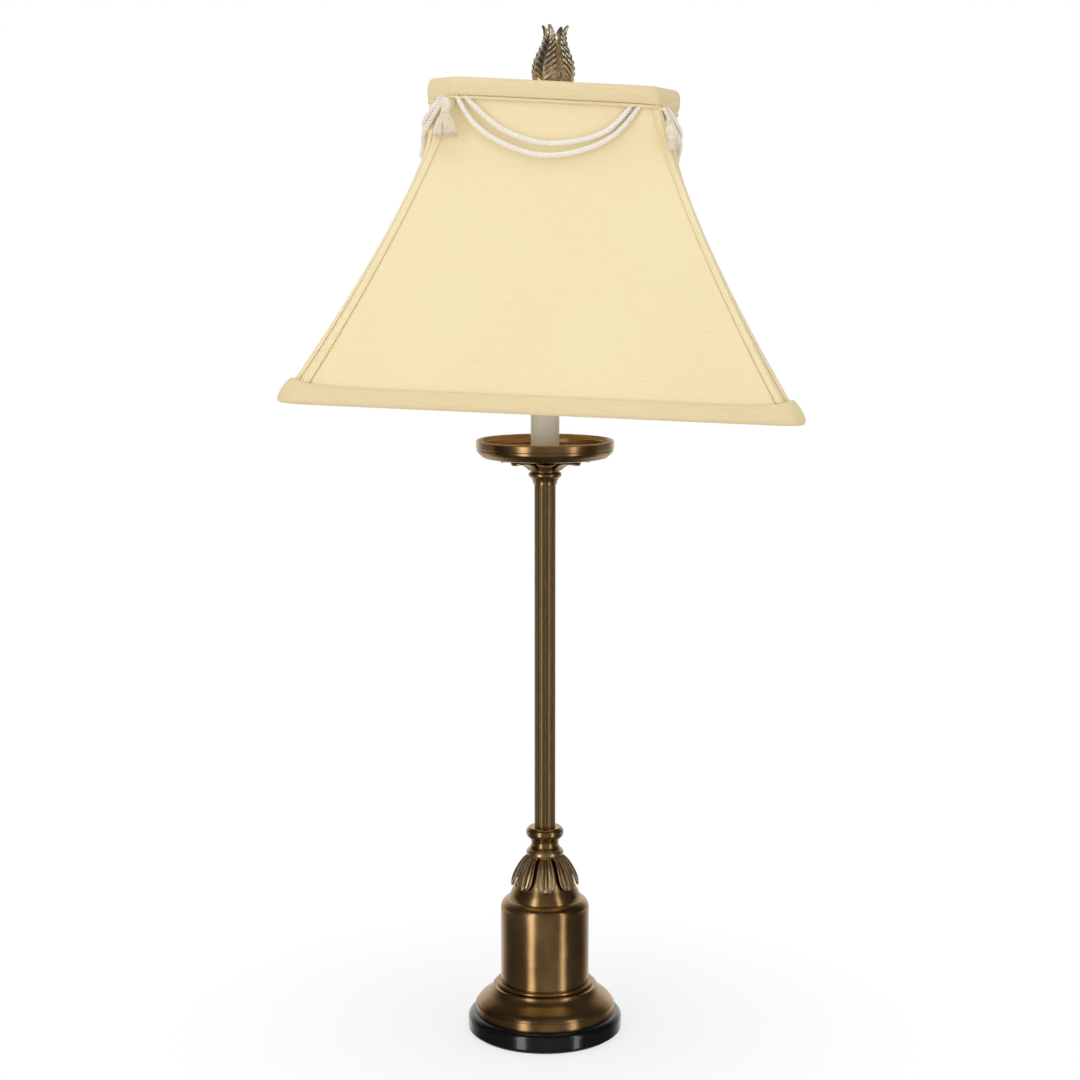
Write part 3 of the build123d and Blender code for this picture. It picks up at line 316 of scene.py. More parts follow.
def makeSilk(name, light, middle, dark):
    # shantung silk: plain weave with thicker slub threads running across
    material, tree, shader = newMaterial(name, middle, Roughness=0.8, Sheen_Weight=0.2, Sheen_Roughness=0.4)
    slubs = addNode(tree, "ShaderNodeTexNoise", {"Scale": 1.0, "Detail": 3.0, "Roughness": 0.6}, {
        "Vector": surfacePlaces(tree, (0.06, 1.3, 1)),   # under 1 mm apart and 15 mm long
    })
    threads = addNode(tree, "ShaderNodeTexNoise", {"Scale": 1.0, "Detail": 1.0}, {
        "Vector": surfacePlaces(tree, (2.2, 0.12, 1)),
    })
    cloud = addNode(tree, "ShaderNodeTexNoise", {"Scale": 9.0, "Detail": 1.0}, {
        "Vector": objectPlaces(tree),
    })
    weave = addNode(tree, "ShaderNodeMath", {1: 0.35}, {
        0: threads.outputs["Fac"], 2: slubs.outputs["Fac"],
    }, operation="MULTIPLY_ADD")
    total = addNode(tree, "ShaderNodeMath", {1: 0.5}, {
        0: cloud.outputs["Fac"], 2: weave.outputs["Value"],
    }, operation="MULTIPLY_ADD")
    tones = addNode(tree, "ShaderNodeMath", {1: 0.54}, {0: total.outputs["Value"]}, operation="MULTIPLY")
    stops = [(0.3, dark), (0.5, middle), (0.7, light)]
    finishSurface(tree, shader, tones.outputs["Value"], stops, weave.outputs["Value"], (0.10, 0.0003))
    return material


def makeYarn(name, shade):
    # twisted rayon yarn: ivory, its fibres running along each ply
    material, tree, shader = newMaterial(name, "#fbf1e2", Roughness=0.6,
                                         Sheen_Weight=0.3, Sheen_Roughness=0.35)
    fibres = addNode(tree, "ShaderNodeTexNoise", {"Scale": 1.0, "Detail": 2.0}, {
        "Vector": surfacePlaces(tree, (9, 0.7, 1)),
    })
    # painted shade: each ply is palest where it bulges out, and painted darker where it lies against the next
    axes = addNode(tree, "ShaderNodeSeparateXYZ", links={"Vector": surfacePlaces(tree, (2 * math.pi, 1, 1))})
    plyShade = addNode(tree, "ShaderNodeMath", links={0: axes.outputs["X"]}, operation="COSINE")
    tones = addNode(tree, "ShaderNodeMath", {1: shade}, {
        0: plyShade.outputs["Value"], 2: fibres.outputs["Fac"],
    }, operation="MULTIPLY_ADD")
    stops = [(0.25, "#dcc39c"), (0.5, "#f4e6cf"), (0.75, "#fdf7ee")]
    finishSurface(tree, shader, tones.outputs["Value"], stops, fibres.outputs["Fac"], (0.25, 0.0002))
    return material


turnedBrass = makeTurnedBrass()
castBrass = makeCastBrass("antiqued cast brass", 0.0035, ("#22180f", "#6b5438", "#ab8c62", "#c3a67c"))
# painted shade: the column's brass is a darker copy of the same antiqued brass
shadedFlutedBrass = makeCastBrass("antiqued fluted brass", 0.0012, ("#1d150d", "#4b3c28", "#7d6849", "#8f7856"))
collarBrass = makeCastBrass("antiqued ridged brass", 0.003, ("#1d140c", "#5e482e", "#b5936a", "#cdae85"),
                            "ridge")
# painted light: the finial's brass is a lighter copy of the same antiqued brass, its vein ridges painted near
# white as highlights
litFinialBrass = makeCastBrass("antiqued veined brass", 0.004, ("#33261a", "#a98e68", "#eedbb8", "#f8ead0"),
                            "ridge")
# sprayed gloss enamel over a turned disc: deep black with a little orange peel
blackEnamel = makeGrained("black enamel", "#08090a", 160.0, 2.0, relief=(0.06, 0.0005),
                          Roughness=0.2, Coat_Weight=0.5, Coat_Roughness=0.08)
# pressed wool felt: matt, with short fibres
woolFelt = makeGrained("wool felt", "#17191b", 1500.0, 3.0, relief=(0.6, 0.0006), Roughness=1.0)
# moulded candle cover: warm off-white with a waxy satin skin
sleevePlastic = makeGrained("ivory moulded plastic", "#f7f4ee", 60.0, 3.0,
                            [(0.3, "#f4f0e8"), (0.7, "#fbf9f4")], (0.08, 0.0005), (1, 1, 0.4),
                            Roughness=0.38, Subsurface_Weight=0.15, Subsurface_Radius=(0.004, 0.003, 0.002))
shadeSilk = makeSilk("ivory shantung silk", "#f8e9c1", "#f5e4b8", "#f0dcab")
trimSilk = makeSilk("folded silk trim", "#f0deb4", "#ead6a9", "#e0ca9a")
ropeYarn = makeYarn("twisted rayon rope", 0.32)
tasselYarn = makeYarn("rayon tassel yarn", 0.10)
# cool grey with faint clouding
zincSteel = makeGrained("zinc plated steel", "#a9abab", 180.0, 4.0,
                        [(0.3, "#8f9293"), (0.7, "#bcbebd")], Metallic=1.0, Roughness=0.35)
# moulded phenolic: near black, dull gloss
blackPlastic = makeGrained("black phenolic", "#15120f", 700.0, 2.0, relief=(0.08, 0.0003), Roughness=0.32)
# powder coat on steel wire: slightly pebbled
wireCoat = makeGrained("white powder coat", "#eae6da", 600.0, 2.0, relief=(0.2, 0.0003), Roughness=0.5)
# the screw shells: pale, fine drawing lines
drawnAluminium = makeGrained("drawn aluminium", "#cfd0cf", 1.0, 2.0, relief=(0.1, 0.0003),
                             stretch=(40, 40, 2200), Metallic=1.0, Roughness=0.3)
# inside-frosted bulb glass: milky white, smooth outside
opalGlass = makeGrained("frosted bulb glass", "#f4f3ee", 90.0, 2.0, [(0.3, "#efeee8"), (0.7, "#f8f8f4")],
                        Roughness=0.12, IOR=1.5, Subsurface_Weight=0.4,
                        Subsurface_Radius=(0.01, 0.01, 0.01), Transmission_Weight=0.25)
# pressed fibre board liner: brown, matt and fibrous
pressedBoard = makeGrained("pressed board", "#5f5244", 500.0, 4.0, [(0.3, "#51463a"), (0.7, "#6d5f50")],
                           Roughness=0.9)
# raw grey iron casting: dark, rough, a little rust
castIron = makeGrained("raw cast iron", "#3a3836", 260.0, 5.0,
                       [(0.3, "#2e2c2b"), (0.6, "#44413e"), (0.75, "#5a4331")], (0.5, 0.0006),
                       Metallic=0.6, Roughness=0.75)

paint(turnedBrass, "foot_flange", "drum", "shoulder_cone", "column_collar", "cup_neck", "drip_pan",
      "candle_seat", "sleeve_cap", "harp_saddle", "harp_bow", "harp_sleeve_left", "harp_sleeve_right",
      "harp_seat", "socket_cap", "socket_shell", "centre_contact", "shade_spider")
paint(castBrass, "leaf_cup")
paint(shadedFlutedBrass, "column")
paint(blackEnamel, "plinth")
paint(woolFelt, "felt_pad")
paint(sleevePlastic, "candle_sleeve")
paint(zincSteel, "lamp_pipe", "base_washer", "base_nut")
paint(blackPlastic, "cord_bushing", "socket_core", "switch_knob")
paint(wireCoat, "shade_ring_top", "shade_ring_bottom", "shade_ribs")
paint(drawnAluminium, "screw_shell", "bulb_cap")
paint(opalGlass, "bulb_glass")
paint(pressedBoard, "socket_liner")
paint(castIron, "base_weight")
print("materials ready")


shadeSet = {   # millimetres, in the frame of the harp's seat
    "seat": (4.7197, 0, 723.0382),    # that frame's own place over the lamp's base
    "lean": 2.7,                      # and its lean, degrees towards +X
    "topEdge": 18.0,
    "height": 236.5,
    "halfLength": (90.0, 187.1),      # top, bottom
    "halfDepth": (63.5, 127.0),
    "cornerLeg": (18.0, 8.1),
    "neckShare": 0.19,                # the sides stay upright over this share of the height
    "flarePower": 1.25,
    "sag": 1.4,                       # how far stretched silk pulls in between its ribs
    "sagShare": {"long": 1.0, "short": 0.8, "corner": 0.2},
    "sagPower": 0.7,                  # below 1, the pull is fuller towards the ribs
    "clothTop": 14.5,                 # the silk ends under the top band
    "rows": 46,
    "columns": {"long": 40, "short": 28, "corner": 6},
    "cloth": 0.8,
}
seatFrame = Matrix.Translation(shadeSet["seat"]) @ Matrix.Rotation(math.radians(shadeSet["lean"]), 4, "Y")


def ribPlaces(height):
    # the front rib and the side rib of the +X +Y quarter
    fall = (shadeSet["topEdge"] - height) / shadeSet["height"]
    neck = shadeSet["neckShare"]
    lean = max(fall, 0) ** shadeSet["flarePower"]
    flare = max((fall - neck) / (1 - neck), 0) ** shadeSet["flarePower"]
    (length, lengthLow), (depth, depthLow), (leg, legLow) = (
        shadeSet[name] for name in ("halfLength", "halfDepth", "cornerLeg"))
    ribX = length - leg + (lengthLow - legLow - length + leg) * lean
    ribY = depth - leg + (depthLow - legLow - depth + leg) * lean
    return (ribX, depth + (depthLow - depth) * flare), (length + (lengthLow - length) * flare, ribY)


def outlineAt(height, offset=0.0):
    # the shade's eight corners at a height, moved outwards
    front, side = ribPlaces(height)
    corners = [side, front, (-front[0], front[1]), (-side[0], side[1])]
    corners = [Vector(c) for c in corners + [(-x, -y) for x, y in corners]]
    moved = []
    for index, here in enumerate(corners):
        into = (here - corners[index - 1]).normalized()
        out = (corners[(index + 1) % 8] - here).normalized()
        first, second = Vector((into.y, -into.x)), Vector((out.y, -out.x))
        moved.append(here + (first + second) * (offset / (1 + first.dot(second))))
    return moved


def addGrid(build, rings, closedAcross=False, closedAlong=False, capped=False, step=(1, 1)):
    # joins each row of points to the next, and keeps each corner's place on the surface for its UV map
    start, across = len(build["points"]), len(rings[0])
    build["points"] += [point for ring in rings for point in ring]
    for i in range(len(rings) if closedAlong else len(rings) - 1):
        for j in range(across if closedAcross else across - 1):
            corners = ((i, j), (i, j + 1), (i + 1, j + 1), (i + 1, j))
            build["faces"].append([start + (r % len(rings)) * across + c % across for r, c in corners])
            build["places"] += [(c * step[0], r * step[1]) for r, c in corners]
    if capped:
        for row in (0, len(rings) - 1):
            build["faces"].append([start + row * across + j for j in range(across)])
            build["places"] += [(j * step[0], row * step[1]) for j in range(across)]


def camelName(node):
    first, *others = node.split("_")
    return first + "".join(word.capitalize() for word in others)


def newBuild():
    return {"points": [], "faces": [], "places": []}


def makePiece(name, build, material, body, frameMm=seatFrame, replaced=()):
    mesh = bpy.data.meshes.new(name)
    mesh.from_pydata([(frameMm @ Vector(point)) * mm for point in build["points"]], [], build["faces"])
    layer = mesh.uv_layers.new(name="surface")
    for loop, place in zip(layer.data, build["places"]):
        loop.uv = place
    editor = bmesh.new()
    editor.from_mesh(mesh)
    bmesh.ops.recalc_face_normals(editor, faces=editor.faces)
    editor.to_mesh(mesh)
    editor.free()
    mesh.polygons.foreach_set("use_smooth", [True] * len(mesh.polygons))
    mesh.materials.append(material)
    piece = bpy.data.objects.new(name, mesh)
    bpy.context.collection.objects.link(piece)
    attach(piece, body)
    if replaced:
        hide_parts(*replaced)
    return piece


ropeSet = {   # millimetres
    "diameter": 4.2,
    "plies": 3,
    "plyRadius": 1.06,
    "plyOffset": 1.10,
    "lay": 7.6,            # one whole turn of a ply
    "stand": 3.7,          # from the silk to the rope's middle
    "tucked": 1.5,         # the same at an end, under the piping
    "pressed": 5.0,        # length of an end that is pressed flat there
    "pressedShare": 0.5,   # of the full thickness, at the very end
    "bendReach": 5.8,      # of the two points that bend a strand round the side rib
    "bendRise": 0.6,
    "bendStand": 1.4,
    "sides": 8,            # of a ply
    "curveOrder": 3,
    "curveSteps": 30,
    "lengths": {"long": (0.1393, 0.1611), "short": (0.1462, 0.1682)},   # metres, upper and lower strand
}
longRoutes = [   # distance along the shade from the middle of its side, and height
    [(-66.0, 5.2), (-54.0, -6.2), (-40.6, -16.4), (-22.4, -23.8), (-5.5, -26.6),
     (13.0, -24.6), (31.5, -19.3), (45.3, -11.2), (57.0, 5.2)],
    [(-72.0, 5.2), (-65.0, -7.2), (-57.0, -15.9), (-46.0, -23.6), (-30.0, -30.4), (-13.5, -34.9),
     (3.0, -34.6), (20.0, -30.7), (35.0, -24.3), (50.0, -14.4), (63.2, 5.2)],
]
shortRoutes = [   # half of each strand; distance 0 stands for the side rib
    [(61.8, 5.2), (0, -11.0), (28.0, -21.5), (10.0, -27.0)],
    [(65.6, 5.2), (0, -19.0), (28.0, -31.0), (10.0, -37.0)],
]


def longRoute(places):
    stand = ropeSet["stand"]
    points = [(x, -(ribPlaces(z)[0][1] + stand), z) for x, z in places]
    for end in (0, -1):
        x, z = places[end]
        points[end] = (x, -(ribPlaces(z)[0][1] + ropeSet["tucked"]), z)
    return points


def shortRoute(half):
    # in front of the -X side, and on round the corner panel towards -Y
    def placeAt(distance, height, stand):
        ring = outlineAt(height, stand)
        corner, rib = ring[4], ring[5]
        if distance <= -corner.y:
            return (corner.x, -distance, height)
        point = corner + (rib - corner).normalized() * (distance + corner.y)
        return (point.x, point.y, height)

    points = []
    for index, (distance, height) in enumerate(half):
        if distance:
            points.append(placeAt(distance, height, ropeSet["stand" if index else "tucked"]))
        else:
            bend = ribPlaces(height)[1][1] + ropeSet["stand"] / 2
            for reach in (ropeSet["bendReach"], -ropeSet["bendReach"]):
                points.append(placeAt(bend + reach, height + reach * ropeSet["bendRise"],
                                      ropeSet["stand"] + ropeSet["bendStand"]))
    return points + [(x, -y, z) for x, y, z in reversed(points)]


def smoothLine(points):
    # one NURBS spline through the route, read back as points
    curve = bpy.data.curves.new("ropeLine", "CURVE")
    curve.dimensions = "3D"
    spline = curve.splines.new("NURBS")
    spline.points.add(len(points) - 1)
    for place, point in zip(spline.points, points):
        place.co = (*point, 1)
    spline.order_u = ropeSet["curveOrder"]
    spline.use_endpoint_u = True
    spline.resolution_u = ropeSet["curveSteps"]
    holder = bpy.data.objects.new("ropeLine", curve)
    mesh = bpy.data.meshes.new_from_object(holder)
    line = [vertex.co.copy() for vertex in mesh.vertices]
    bpy.data.meshes.remove(mesh)
    bpy.data.objects.remove(holder)
    bpy.data.curves.remove(curve)
    return line


def addTube(build, line, radii, sides, closed=False, turnStart=0.0):
    # a round tube along a line; its rings turn with the line as little as they can
    rings, side = [], None
    for index, here in enumerate(line):
        before = line[index - 1] if index or closed else here
        after = line[(index + 1) % len(line)] if index + 1 < len(line) or closed else here
        ahead = (after - before).normalized()
        if side is None:
            side = ahead.orthogonal().normalized()
        side = (side - ahead * side.dot(ahead)).normalized()
        up = ahead.cross(side)
        radius = radii(index / (len(line) - 1)) if callable(radii) else radii
        rings.append([
            here + (side * math.cos(a) + up * math.sin(a)) * radius
            for a in (turnStart + 2 * math.pi * k / sides for k in range(sides))
        ])
    run = sum((b - a).length for a, b in zip(line, line[1:])) / max(len(line) - 1, 1)
    addGrid(build, rings, True, closed, not closed, (1 / sides, run))


def makeRope(name, route, turn, node):
    frameMm = seatFrame @ Matrix.Rotation(math.radians(turn), 4, "Z")
    line = smoothLine(route)
    travelled = [0.0]
    for a, b in zip(line, line[1:]):
        travelled.append(travelled[-1] + (b - a).length)
    whole = travelled[-1]
    build = newBuild()
    sides, side = ropeSet["sides"], None
    centres = [[] for _ in range(ropeSet["plies"])]
    for index, here in enumerate(line):
        ahead = (line[min(index + 1, len(line) - 1)] - line[max(index - 1, 0)]).normalized()
        side = side or Vector((0, 0, 1)).cross(ahead)
        side = (side - ahead * side.dot(ahead)).normalized()
        up = ahead.cross(side)
        fromEnd = min(travelled[index], whole - travelled[index])
        thin = ropeSet["pressedShare"]
        press = thin + (1 - thin) * min(fromEnd / ropeSet["pressed"], 1.0)
        for ply in range(ropeSet["plies"]):
            angle = 2 * math.pi * (travelled[index] / ropeSet["lay"] + ply / ropeSet["plies"])
            outward = side * math.cos(angle) + up * math.sin(angle)
            centres[ply].append((here + outward * ropeSet["plyOffset"] * press, outward, press))
    for ply in centres:
        rings = []
        for index, (centre, outward, press) in enumerate(ply):
            ahead = (ply[min(index + 1, len(ply) - 1)][0] - ply[max(index - 1, 0)][0]).normalized()
            across = ahead.cross(outward).normalized()
            lift = across.cross(ahead)
            rings.append([
                centre + (lift * math.cos(a) + across * math.sin(a)) * ropeSet["plyRadius"] * press
                for a in (2 * math.pi * k / sides for k in range(sides))
            ])
        addGrid(build, rings, True, False, True, (1 / sides, whole / len(line)))
    piece = makePiece(name, build, ropeYarn, "shade", frameMm, [node])
    print(name, "line", round(whole, 1), "mm")


for word, turn, routes, kind in (
    ("Front", 0, [longRoute(r) for r in longRoutes], "long"),
    ("Back", 180, [longRoute(r) for r in longRoutes], "long"),
    ("Left", 0, [shortRoute(r) for r in shortRoutes], "short"),
    ("Right", 180, [shortRoute(r) for r in shortRoutes], "short"),
):
    for route, level, length in zip(routes, ("Upper", "Lower"), ropeSet["lengths"][kind]):
        makeRope("swagRope" + word + level, route, turn, "swag_" + word.lower())
print("swag ropes twisted")


def lengthOf(points):
    return sum((Vector(b) - Vector(a)).length for a, b in zip(points, points[1:]))


def makePanel(index, node, kind):
    # one gore of silk, pulled in a little between its two ribs and between the rings
    columns, rows = shadeSet["columns"][kind], shadeSet["rows"]
    sag = shadeSet["sag"] * shadeSet["sagShare"][kind]
    high, low = shadeSet["clothTop"], shadeSet["topEdge"] - shadeSet["height"]
    rings = []
    for row in range(rows + 1):
        share = row / rows
        height = high + (low - high) * share
        corners = outlineAt(height)
        start, end = corners[index], corners[(index + 1) % 8]
        run = end - start
        inward = Vector((-run.y, run.x)).normalized()
        pull = sag * math.sin(math.pi * share)
        ring = []
        for column in range(columns + 1):
            part = column / columns
            point = start + run * part + inward * pull * math.sin(math.pi * part) ** shadeSet["sagPower"]
            ring.append((point.x, point.y, height))
        rings.append(ring)
    build = newBuild()
    slant = lengthOf([ring[columns // 2] for ring in rings])
    addGrid(build, rings, step=(lengthOf(rings[-1]) / columns, slant / rows))
    piece = makePiece(camelName(node.replace("panel", "gore")), build, shadeSilk, "shade",
                      replaced=[node])
    wall = piece.modifiers.new("silk and lining", "SOLIDIFY")
    wall.thickness = shadeSet["cloth"] * mm
    wall.offset = -1
    print(piece.name, "flat", round(lengthOf(rings[-1])), "x", round(slant), "mm")


for index, (node, kind) in enumerate((
    ("corner_panel_back_right", "corner"), ("shade_panel_back", "long"), ("corner_panel_back_left", "corner"),
    ("shade_panel_left", "short"), ("corner_panel_front_left", "corner"), ("shade_panel_front", "long"),
    ("corner_panel_front_right", "corner"), ("shade_panel_right", "short"),
)):
    makePanel(index, node, kind)
print("silk gores stretched")


bandSet = {   # out from the silk and height, from the seam round to the inside
    "top": {
        "profile": [(0.9, 5.7), (2.2, 5.9), (3.0, 7.6), (3.3, 10.5), (3.3, 13.6), (2.9, 16.2), (1.9, 18.0),
                    (0.3, 18.9), (-1.8, 19.2), (-3.8, 18.8), (-5.2, 17.4), (-5.7, 15.0), (-5.6, 12.0)],
        "cornerMove": (-4.6, -3.2, -1.2),    # at the seam, at the bulge and over the edge
        "round": 9.0,
    },
    "bottom": {
        "profile": [(1.2, -206.6), (2.6, -207.0), (3.9, -209.0), (4.7, -211.9), (4.8, -214.8),
                    (4.2, -217.4), (2.6, -219.2), (0.2, -219.9), (-2.6, -219.9), (-5.0, -219.2),
                    (-6.3, -217.2), (-6.5, -214.0), (-6.4, -211.0)],
        "cornerMove": (5.2, 2.2, 0.3),
        "round": 11.0,
    },
    "cloth": 0.7,
    "bulgeShare": 0.35,        # of the profile, from the seam to the bulge
    "edgeShare": 0.2,          # and from there to the edge
    "roundLess": 3.0,          # a corner's radius is this much under its round at the seam
    "leastRound": 2.5,
    "cornerSteps": 7,
    "cornerLimit": 0.45,       # of the shorter side, that a corner's rounding may take
    "divisions": (4, 24, 4, 16),   # of the corner, long, corner and short sides
    "cornerReach": 17.0,       # the edges fall or rise over this distance from a side rib
}
pipingSet = {
    "radius": 1.35,
    "place": (1.35, 4.3),      # out from the silk and height
    "round": 9.0,
    "cornerFall": 4.6,
    "sides": 10,
}


def cornerCut(into, out, radius):
    return min(radius * math.tan(into.angle(out) / 2), bandSet["cornerLimit"] * min(into.length, out.length))


def roundedRing(height, offset, radius):
    # the outline with rounded corners, each side divided evenly; always the same number of points
    corners = outlineAt(height, offset)
    ring = []
    for index, here in enumerate(corners):
        nextCorner = corners[(index + 1) % 8]
        into, out = here - corners[index - 1], nextCorner - here
        cut = cornerCut(into, out, radius)
        start, end = here - into.normalized() * cut, here + out.normalized() * cut
        for step in range(bandSet["cornerSteps"]):
            t = step / (bandSet["cornerSteps"] - 1)
            ring.append(start * (1 - t) ** 2 + here * 2 * t * (1 - t) + end * t * t)
        following = corners[(index + 2) % 8] - nextCorner
        goal = nextCorner - out.normalized() * cornerCut(out, following, radius)
        count = bandSet["divisions"][index % 4]
        for step in range(1, count):
            ring.append(end.lerp(goal, step / count))
    return ring


def cornerShare(point, height):
    side = ribPlaces(height)[1]
    away = min((Vector((sx * side[0], sy * side[1])) - point).length for sx in (-1, 1) for sy in (-1, 1))
    return math.exp(-((away / bandSet["cornerReach"]) ** 2))


def makeBand(name, key, node):
    # a strip of silk folded over the ring, its edges pulled out of line at the corners
    values = bandSet[key]
    profile = values["profile"]
    atSeam, atBulge, atEdge = values["cornerMove"]
    bulge = bandSet["bulgeShare"]
    rings = []
    for index, (out, height) in enumerate(profile):
        share = index / (len(profile) - 1)
        if share < bulge:
            move = atSeam + (atBulge - atSeam) * share / bulge
        else:
            move = atBulge + (atEdge - atBulge) * min((share - bulge) / bandSet["edgeShare"], 1)
        ring = []
        radius = max(values["round"] + out - bandSet["roundLess"], bandSet["leastRound"])
        for point in roundedRing(height, out, radius):
            ring.append((point.x, point.y, height + move * cornerShare(point, height)))
        rings.append(ring)
    build = newBuild()
    around = lengthOf(rings[3] + rings[3][:1])   # along the bulge, the longest ring
    across = lengthOf([ring[0] for ring in rings])
    addGrid(build, rings, closedAcross=True, step=(around / len(rings[0]), across / len(rings)))
    piece = makePiece(name, build, trimSilk, "shade", replaced=[node])
    wall = piece.modifiers.new("folded silk", "SOLIDIFY")
    wall.thickness = bandSet["cloth"] * mm
    wall.offset = -1
    softer = piece.modifiers.new("soft fold", "SUBSURF")
    softer.levels = softer.render_levels = 1
    print(name, "flat", round(around), "x", round(across), "mm")


makeBand("topBandSilk", "top", "top_band")
makeBand("bottomBandSilk", "bottom", "bottom_band")


def makePiping():
    # one covered cord all round, under the top band
    build = newBuild()
    out, height = pipingSet["place"]
    line = []
    for point in roundedRing(height, out, pipingSet["round"]):
        fall = pipingSet["cornerFall"] * cornerShare(point, height)
        line.append(Vector((point.x, point.y, height - fall)))
    addTube(build, line, pipingSet["radius"], pipingSet["sides"], closed=True)
    makePiece("topPipingCord", build, trimSilk, "shade", replaced=["top_piping"])


makePiping()

trimSet = {   # millimetres
    "rows": 40,
    "spare": 0.5,      # left free in the middle of a narrow corner panel
    "mapStep": (0.8, 5.3),
    "high": 6.5,
    "low": -207.5,
    "halfWidth": 4.0,
    "section": [   # along the silk as a share of the half width, and out from it
        (-1.0, 0.30), (-1.05, 0.75), (-0.96, 1.22), (-0.80, 1.32), (-0.70, 1.02), (-0.58, 1.22),
        (-0.25, 1.28), (0.0, 1.42), (0.25, 1.28), (0.58, 1.22), (0.70, 1.02), (0.80, 1.32),
        (0.96, 1.22), (1.05, 0.75), (1.0, 0.30), (0.0, 0.30),
    ],
}


def makeTrims():
    # a folded silk strip over each of the eight ribs, sewn down near both edges
    build = newBuild()
    for index in range(8):
        rings = []
        for row in range(trimSet["rows"] + 1):
            height = trimSet["high"] + (trimSet["low"] - trimSet["high"]) * row / trimSet["rows"]
            corners = outlineAt(height)
            here = corners[index]
            back, ahead = corners[index - 1] - here, corners[(index + 1) % 8] - here
            ring = []
            for share, out in trimSet["section"]:
                run = back if share < 0 else ahead
                reach = min(trimSet["halfWidth"], run.length / 2 - trimSet["spare"])
                moved = outlineAt(height, out)[index]
                away = run.normalized() * abs(share) * reach
                ring.append((moved.x + away.x, moved.y + away.y, height))
            rings.append(ring)
        addGrid(build, rings, True, False, True, trimSet["mapStep"])
    makePiece("cornerTrimSilk", build, shadeSilk, "shade", replaced=["corner_trims"])


makeTrims()
print("bands, piping and corner trims sewn")


weldReach = 0.00002   # metres between vertices that are one


def recast(node, name, voxel, material, body, surface):
    # the CAD casting again, with an even skin whose ridges are raised and its grooves cut deeper;
    # surface gives a place's mark, from 0 in a groove to 1 on a ridge, and how far it moves, in mm
    piece = nodes[node].copy()
    piece.data = nodes[node].data.copy()
    piece.name = name
    bpy.context.collection.objects.link(piece)
    bpy.ops.object.select_all(action="DESELECT")
    piece.select_set(True)
    bpy.context.view_layer.objects.active = piece
    bpy.ops.object.mode_set(mode="EDIT")
    bpy.ops.mesh.select_all(action="SELECT")
    bpy.ops.mesh.remove_doubles(threshold=weldReach)
    bpy.ops.object.mode_set(mode="OBJECT")
    remesh = piece.modifiers.new("even skin", "REMESH")
    remesh.mode = "VOXEL"
    remesh.voxel_size = voxel * mm
    bpy.ops.object.modifier_apply(modifier=remesh.name)
    mesh = piece.data
    moved, marks = [], []
    for vertex in mesh.vertices:
        mark, move = surface(vertex.co / mm, vertex.normal)
        marks.append(mark)
        moved.append(vertex.co + vertex.normal * move * mm)
    for vertex, point in zip(mesh.vertices, moved):
        vertex.co = point
    mesh.attributes.new("ridge", "FLOAT", "POINT").data.foreach_set("value", marks)
    mesh.polygons.foreach_set("use_smooth", [True] * len(mesh.polygons))
    mesh.materials.clear()
    mesh.materials.append(material)
    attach(piece, body)
    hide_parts(node)
    print(name, len(mesh.polygons), "faces")


def rampBetween(value, low, high):
    return min(max((value - low) / (high - low), 0.0), 1.0)


finialSet = {   # millimetres
    "leaves": 4,
    "phase": -28.0,        # degrees, where the first leaf stands
    "low": 13.5,           # the veins start above the cup
    "high": 60.0,
    "step": 4.6,           # from one vein to the next
    "rise": 10.0,          # of a vein from the midrib to half-way round to the next leaf
    "depth": 0.42,
    "midrib": 0.87,        # the larger, the narrower the midrib
    "sharpness": 1.3,
    "facing": (0.15, 0.5),     # veins start and are whole where a face looks outwards this much
    "fade": (3, 5),        # over which they fade in above low and out below high
    "plain": 0.75,         # the mark where there are none
}
toSeat = seatFrame.inverted()


def finialSurface(point, normal):
    # herringbone veins on the leaves' outer faces
    place = toSeat @ point
    facing = (toSeat.to_3x3() @ normal).normalized()
    outward = Vector((place.x, place.y, 0)).normalized()
    turn = (math.degrees(math.atan2(place.y, place.x)) - finialSet["phase"]) * finialSet["leaves"] / 360
    aside = abs((turn + 0.5) % 1.0 - 0.5) * 2
    wave = 0.5 + 0.5 * math.cos(2 * math.pi * (place.z - finialSet["rise"] * aside) / finialSet["step"])
    midrib = math.exp(-((aside * place.xy.length * finialSet["midrib"]) ** 2))
    low, high, (fadeLow, fadeHigh) = finialSet["low"], finialSet["high"], finialSet["fade"]
    share = rampBetween(facing.dot(outward), *finialSet["facing"])
    share *= rampBetween(place.z, low, low + fadeLow)
    share *= rampBetween(-place.z, -high, fadeHigh - high)
    mark = max(wave ** finialSet["sharpness"], midrib)
    return mark * share + (1 - share) * finialSet["plain"], (mark * 2 - 1) * finialSet["depth"] * share


collarSet = {   # millimetres
    "leaves": 8,
    "root": (12.5, 143.6),     # out from the axis and height
    "drop": 24.2,
    "rows": [(0, 0.52), (0.07, 0.62), (0.195, 0.76), (0.46, 0.94), (0.73, 1.0), (0.91, 0.78), (1, 0.34)],
    "width": 15.4,             # the rows are shares of the drop and of this
    "depth": 0.36,
    "plainEnd": 0.02,          # share of the drop left plain at the root and at the tip
    "tipFade": 0.16,           # share of the drop, from the tip, where the ridges are whole again
    "rise": 6.0,               # tips the direction that counts as outwards
    "facing": (0.1, 0.5),      # ridges start and are whole where a face looks outwards this much
    "ridge": 0.48,             # from one ridge to the next, as a share of the half width
    "rootMark": 0.9,
    "plain": 0.8,              # the mark where there are no ridges
}


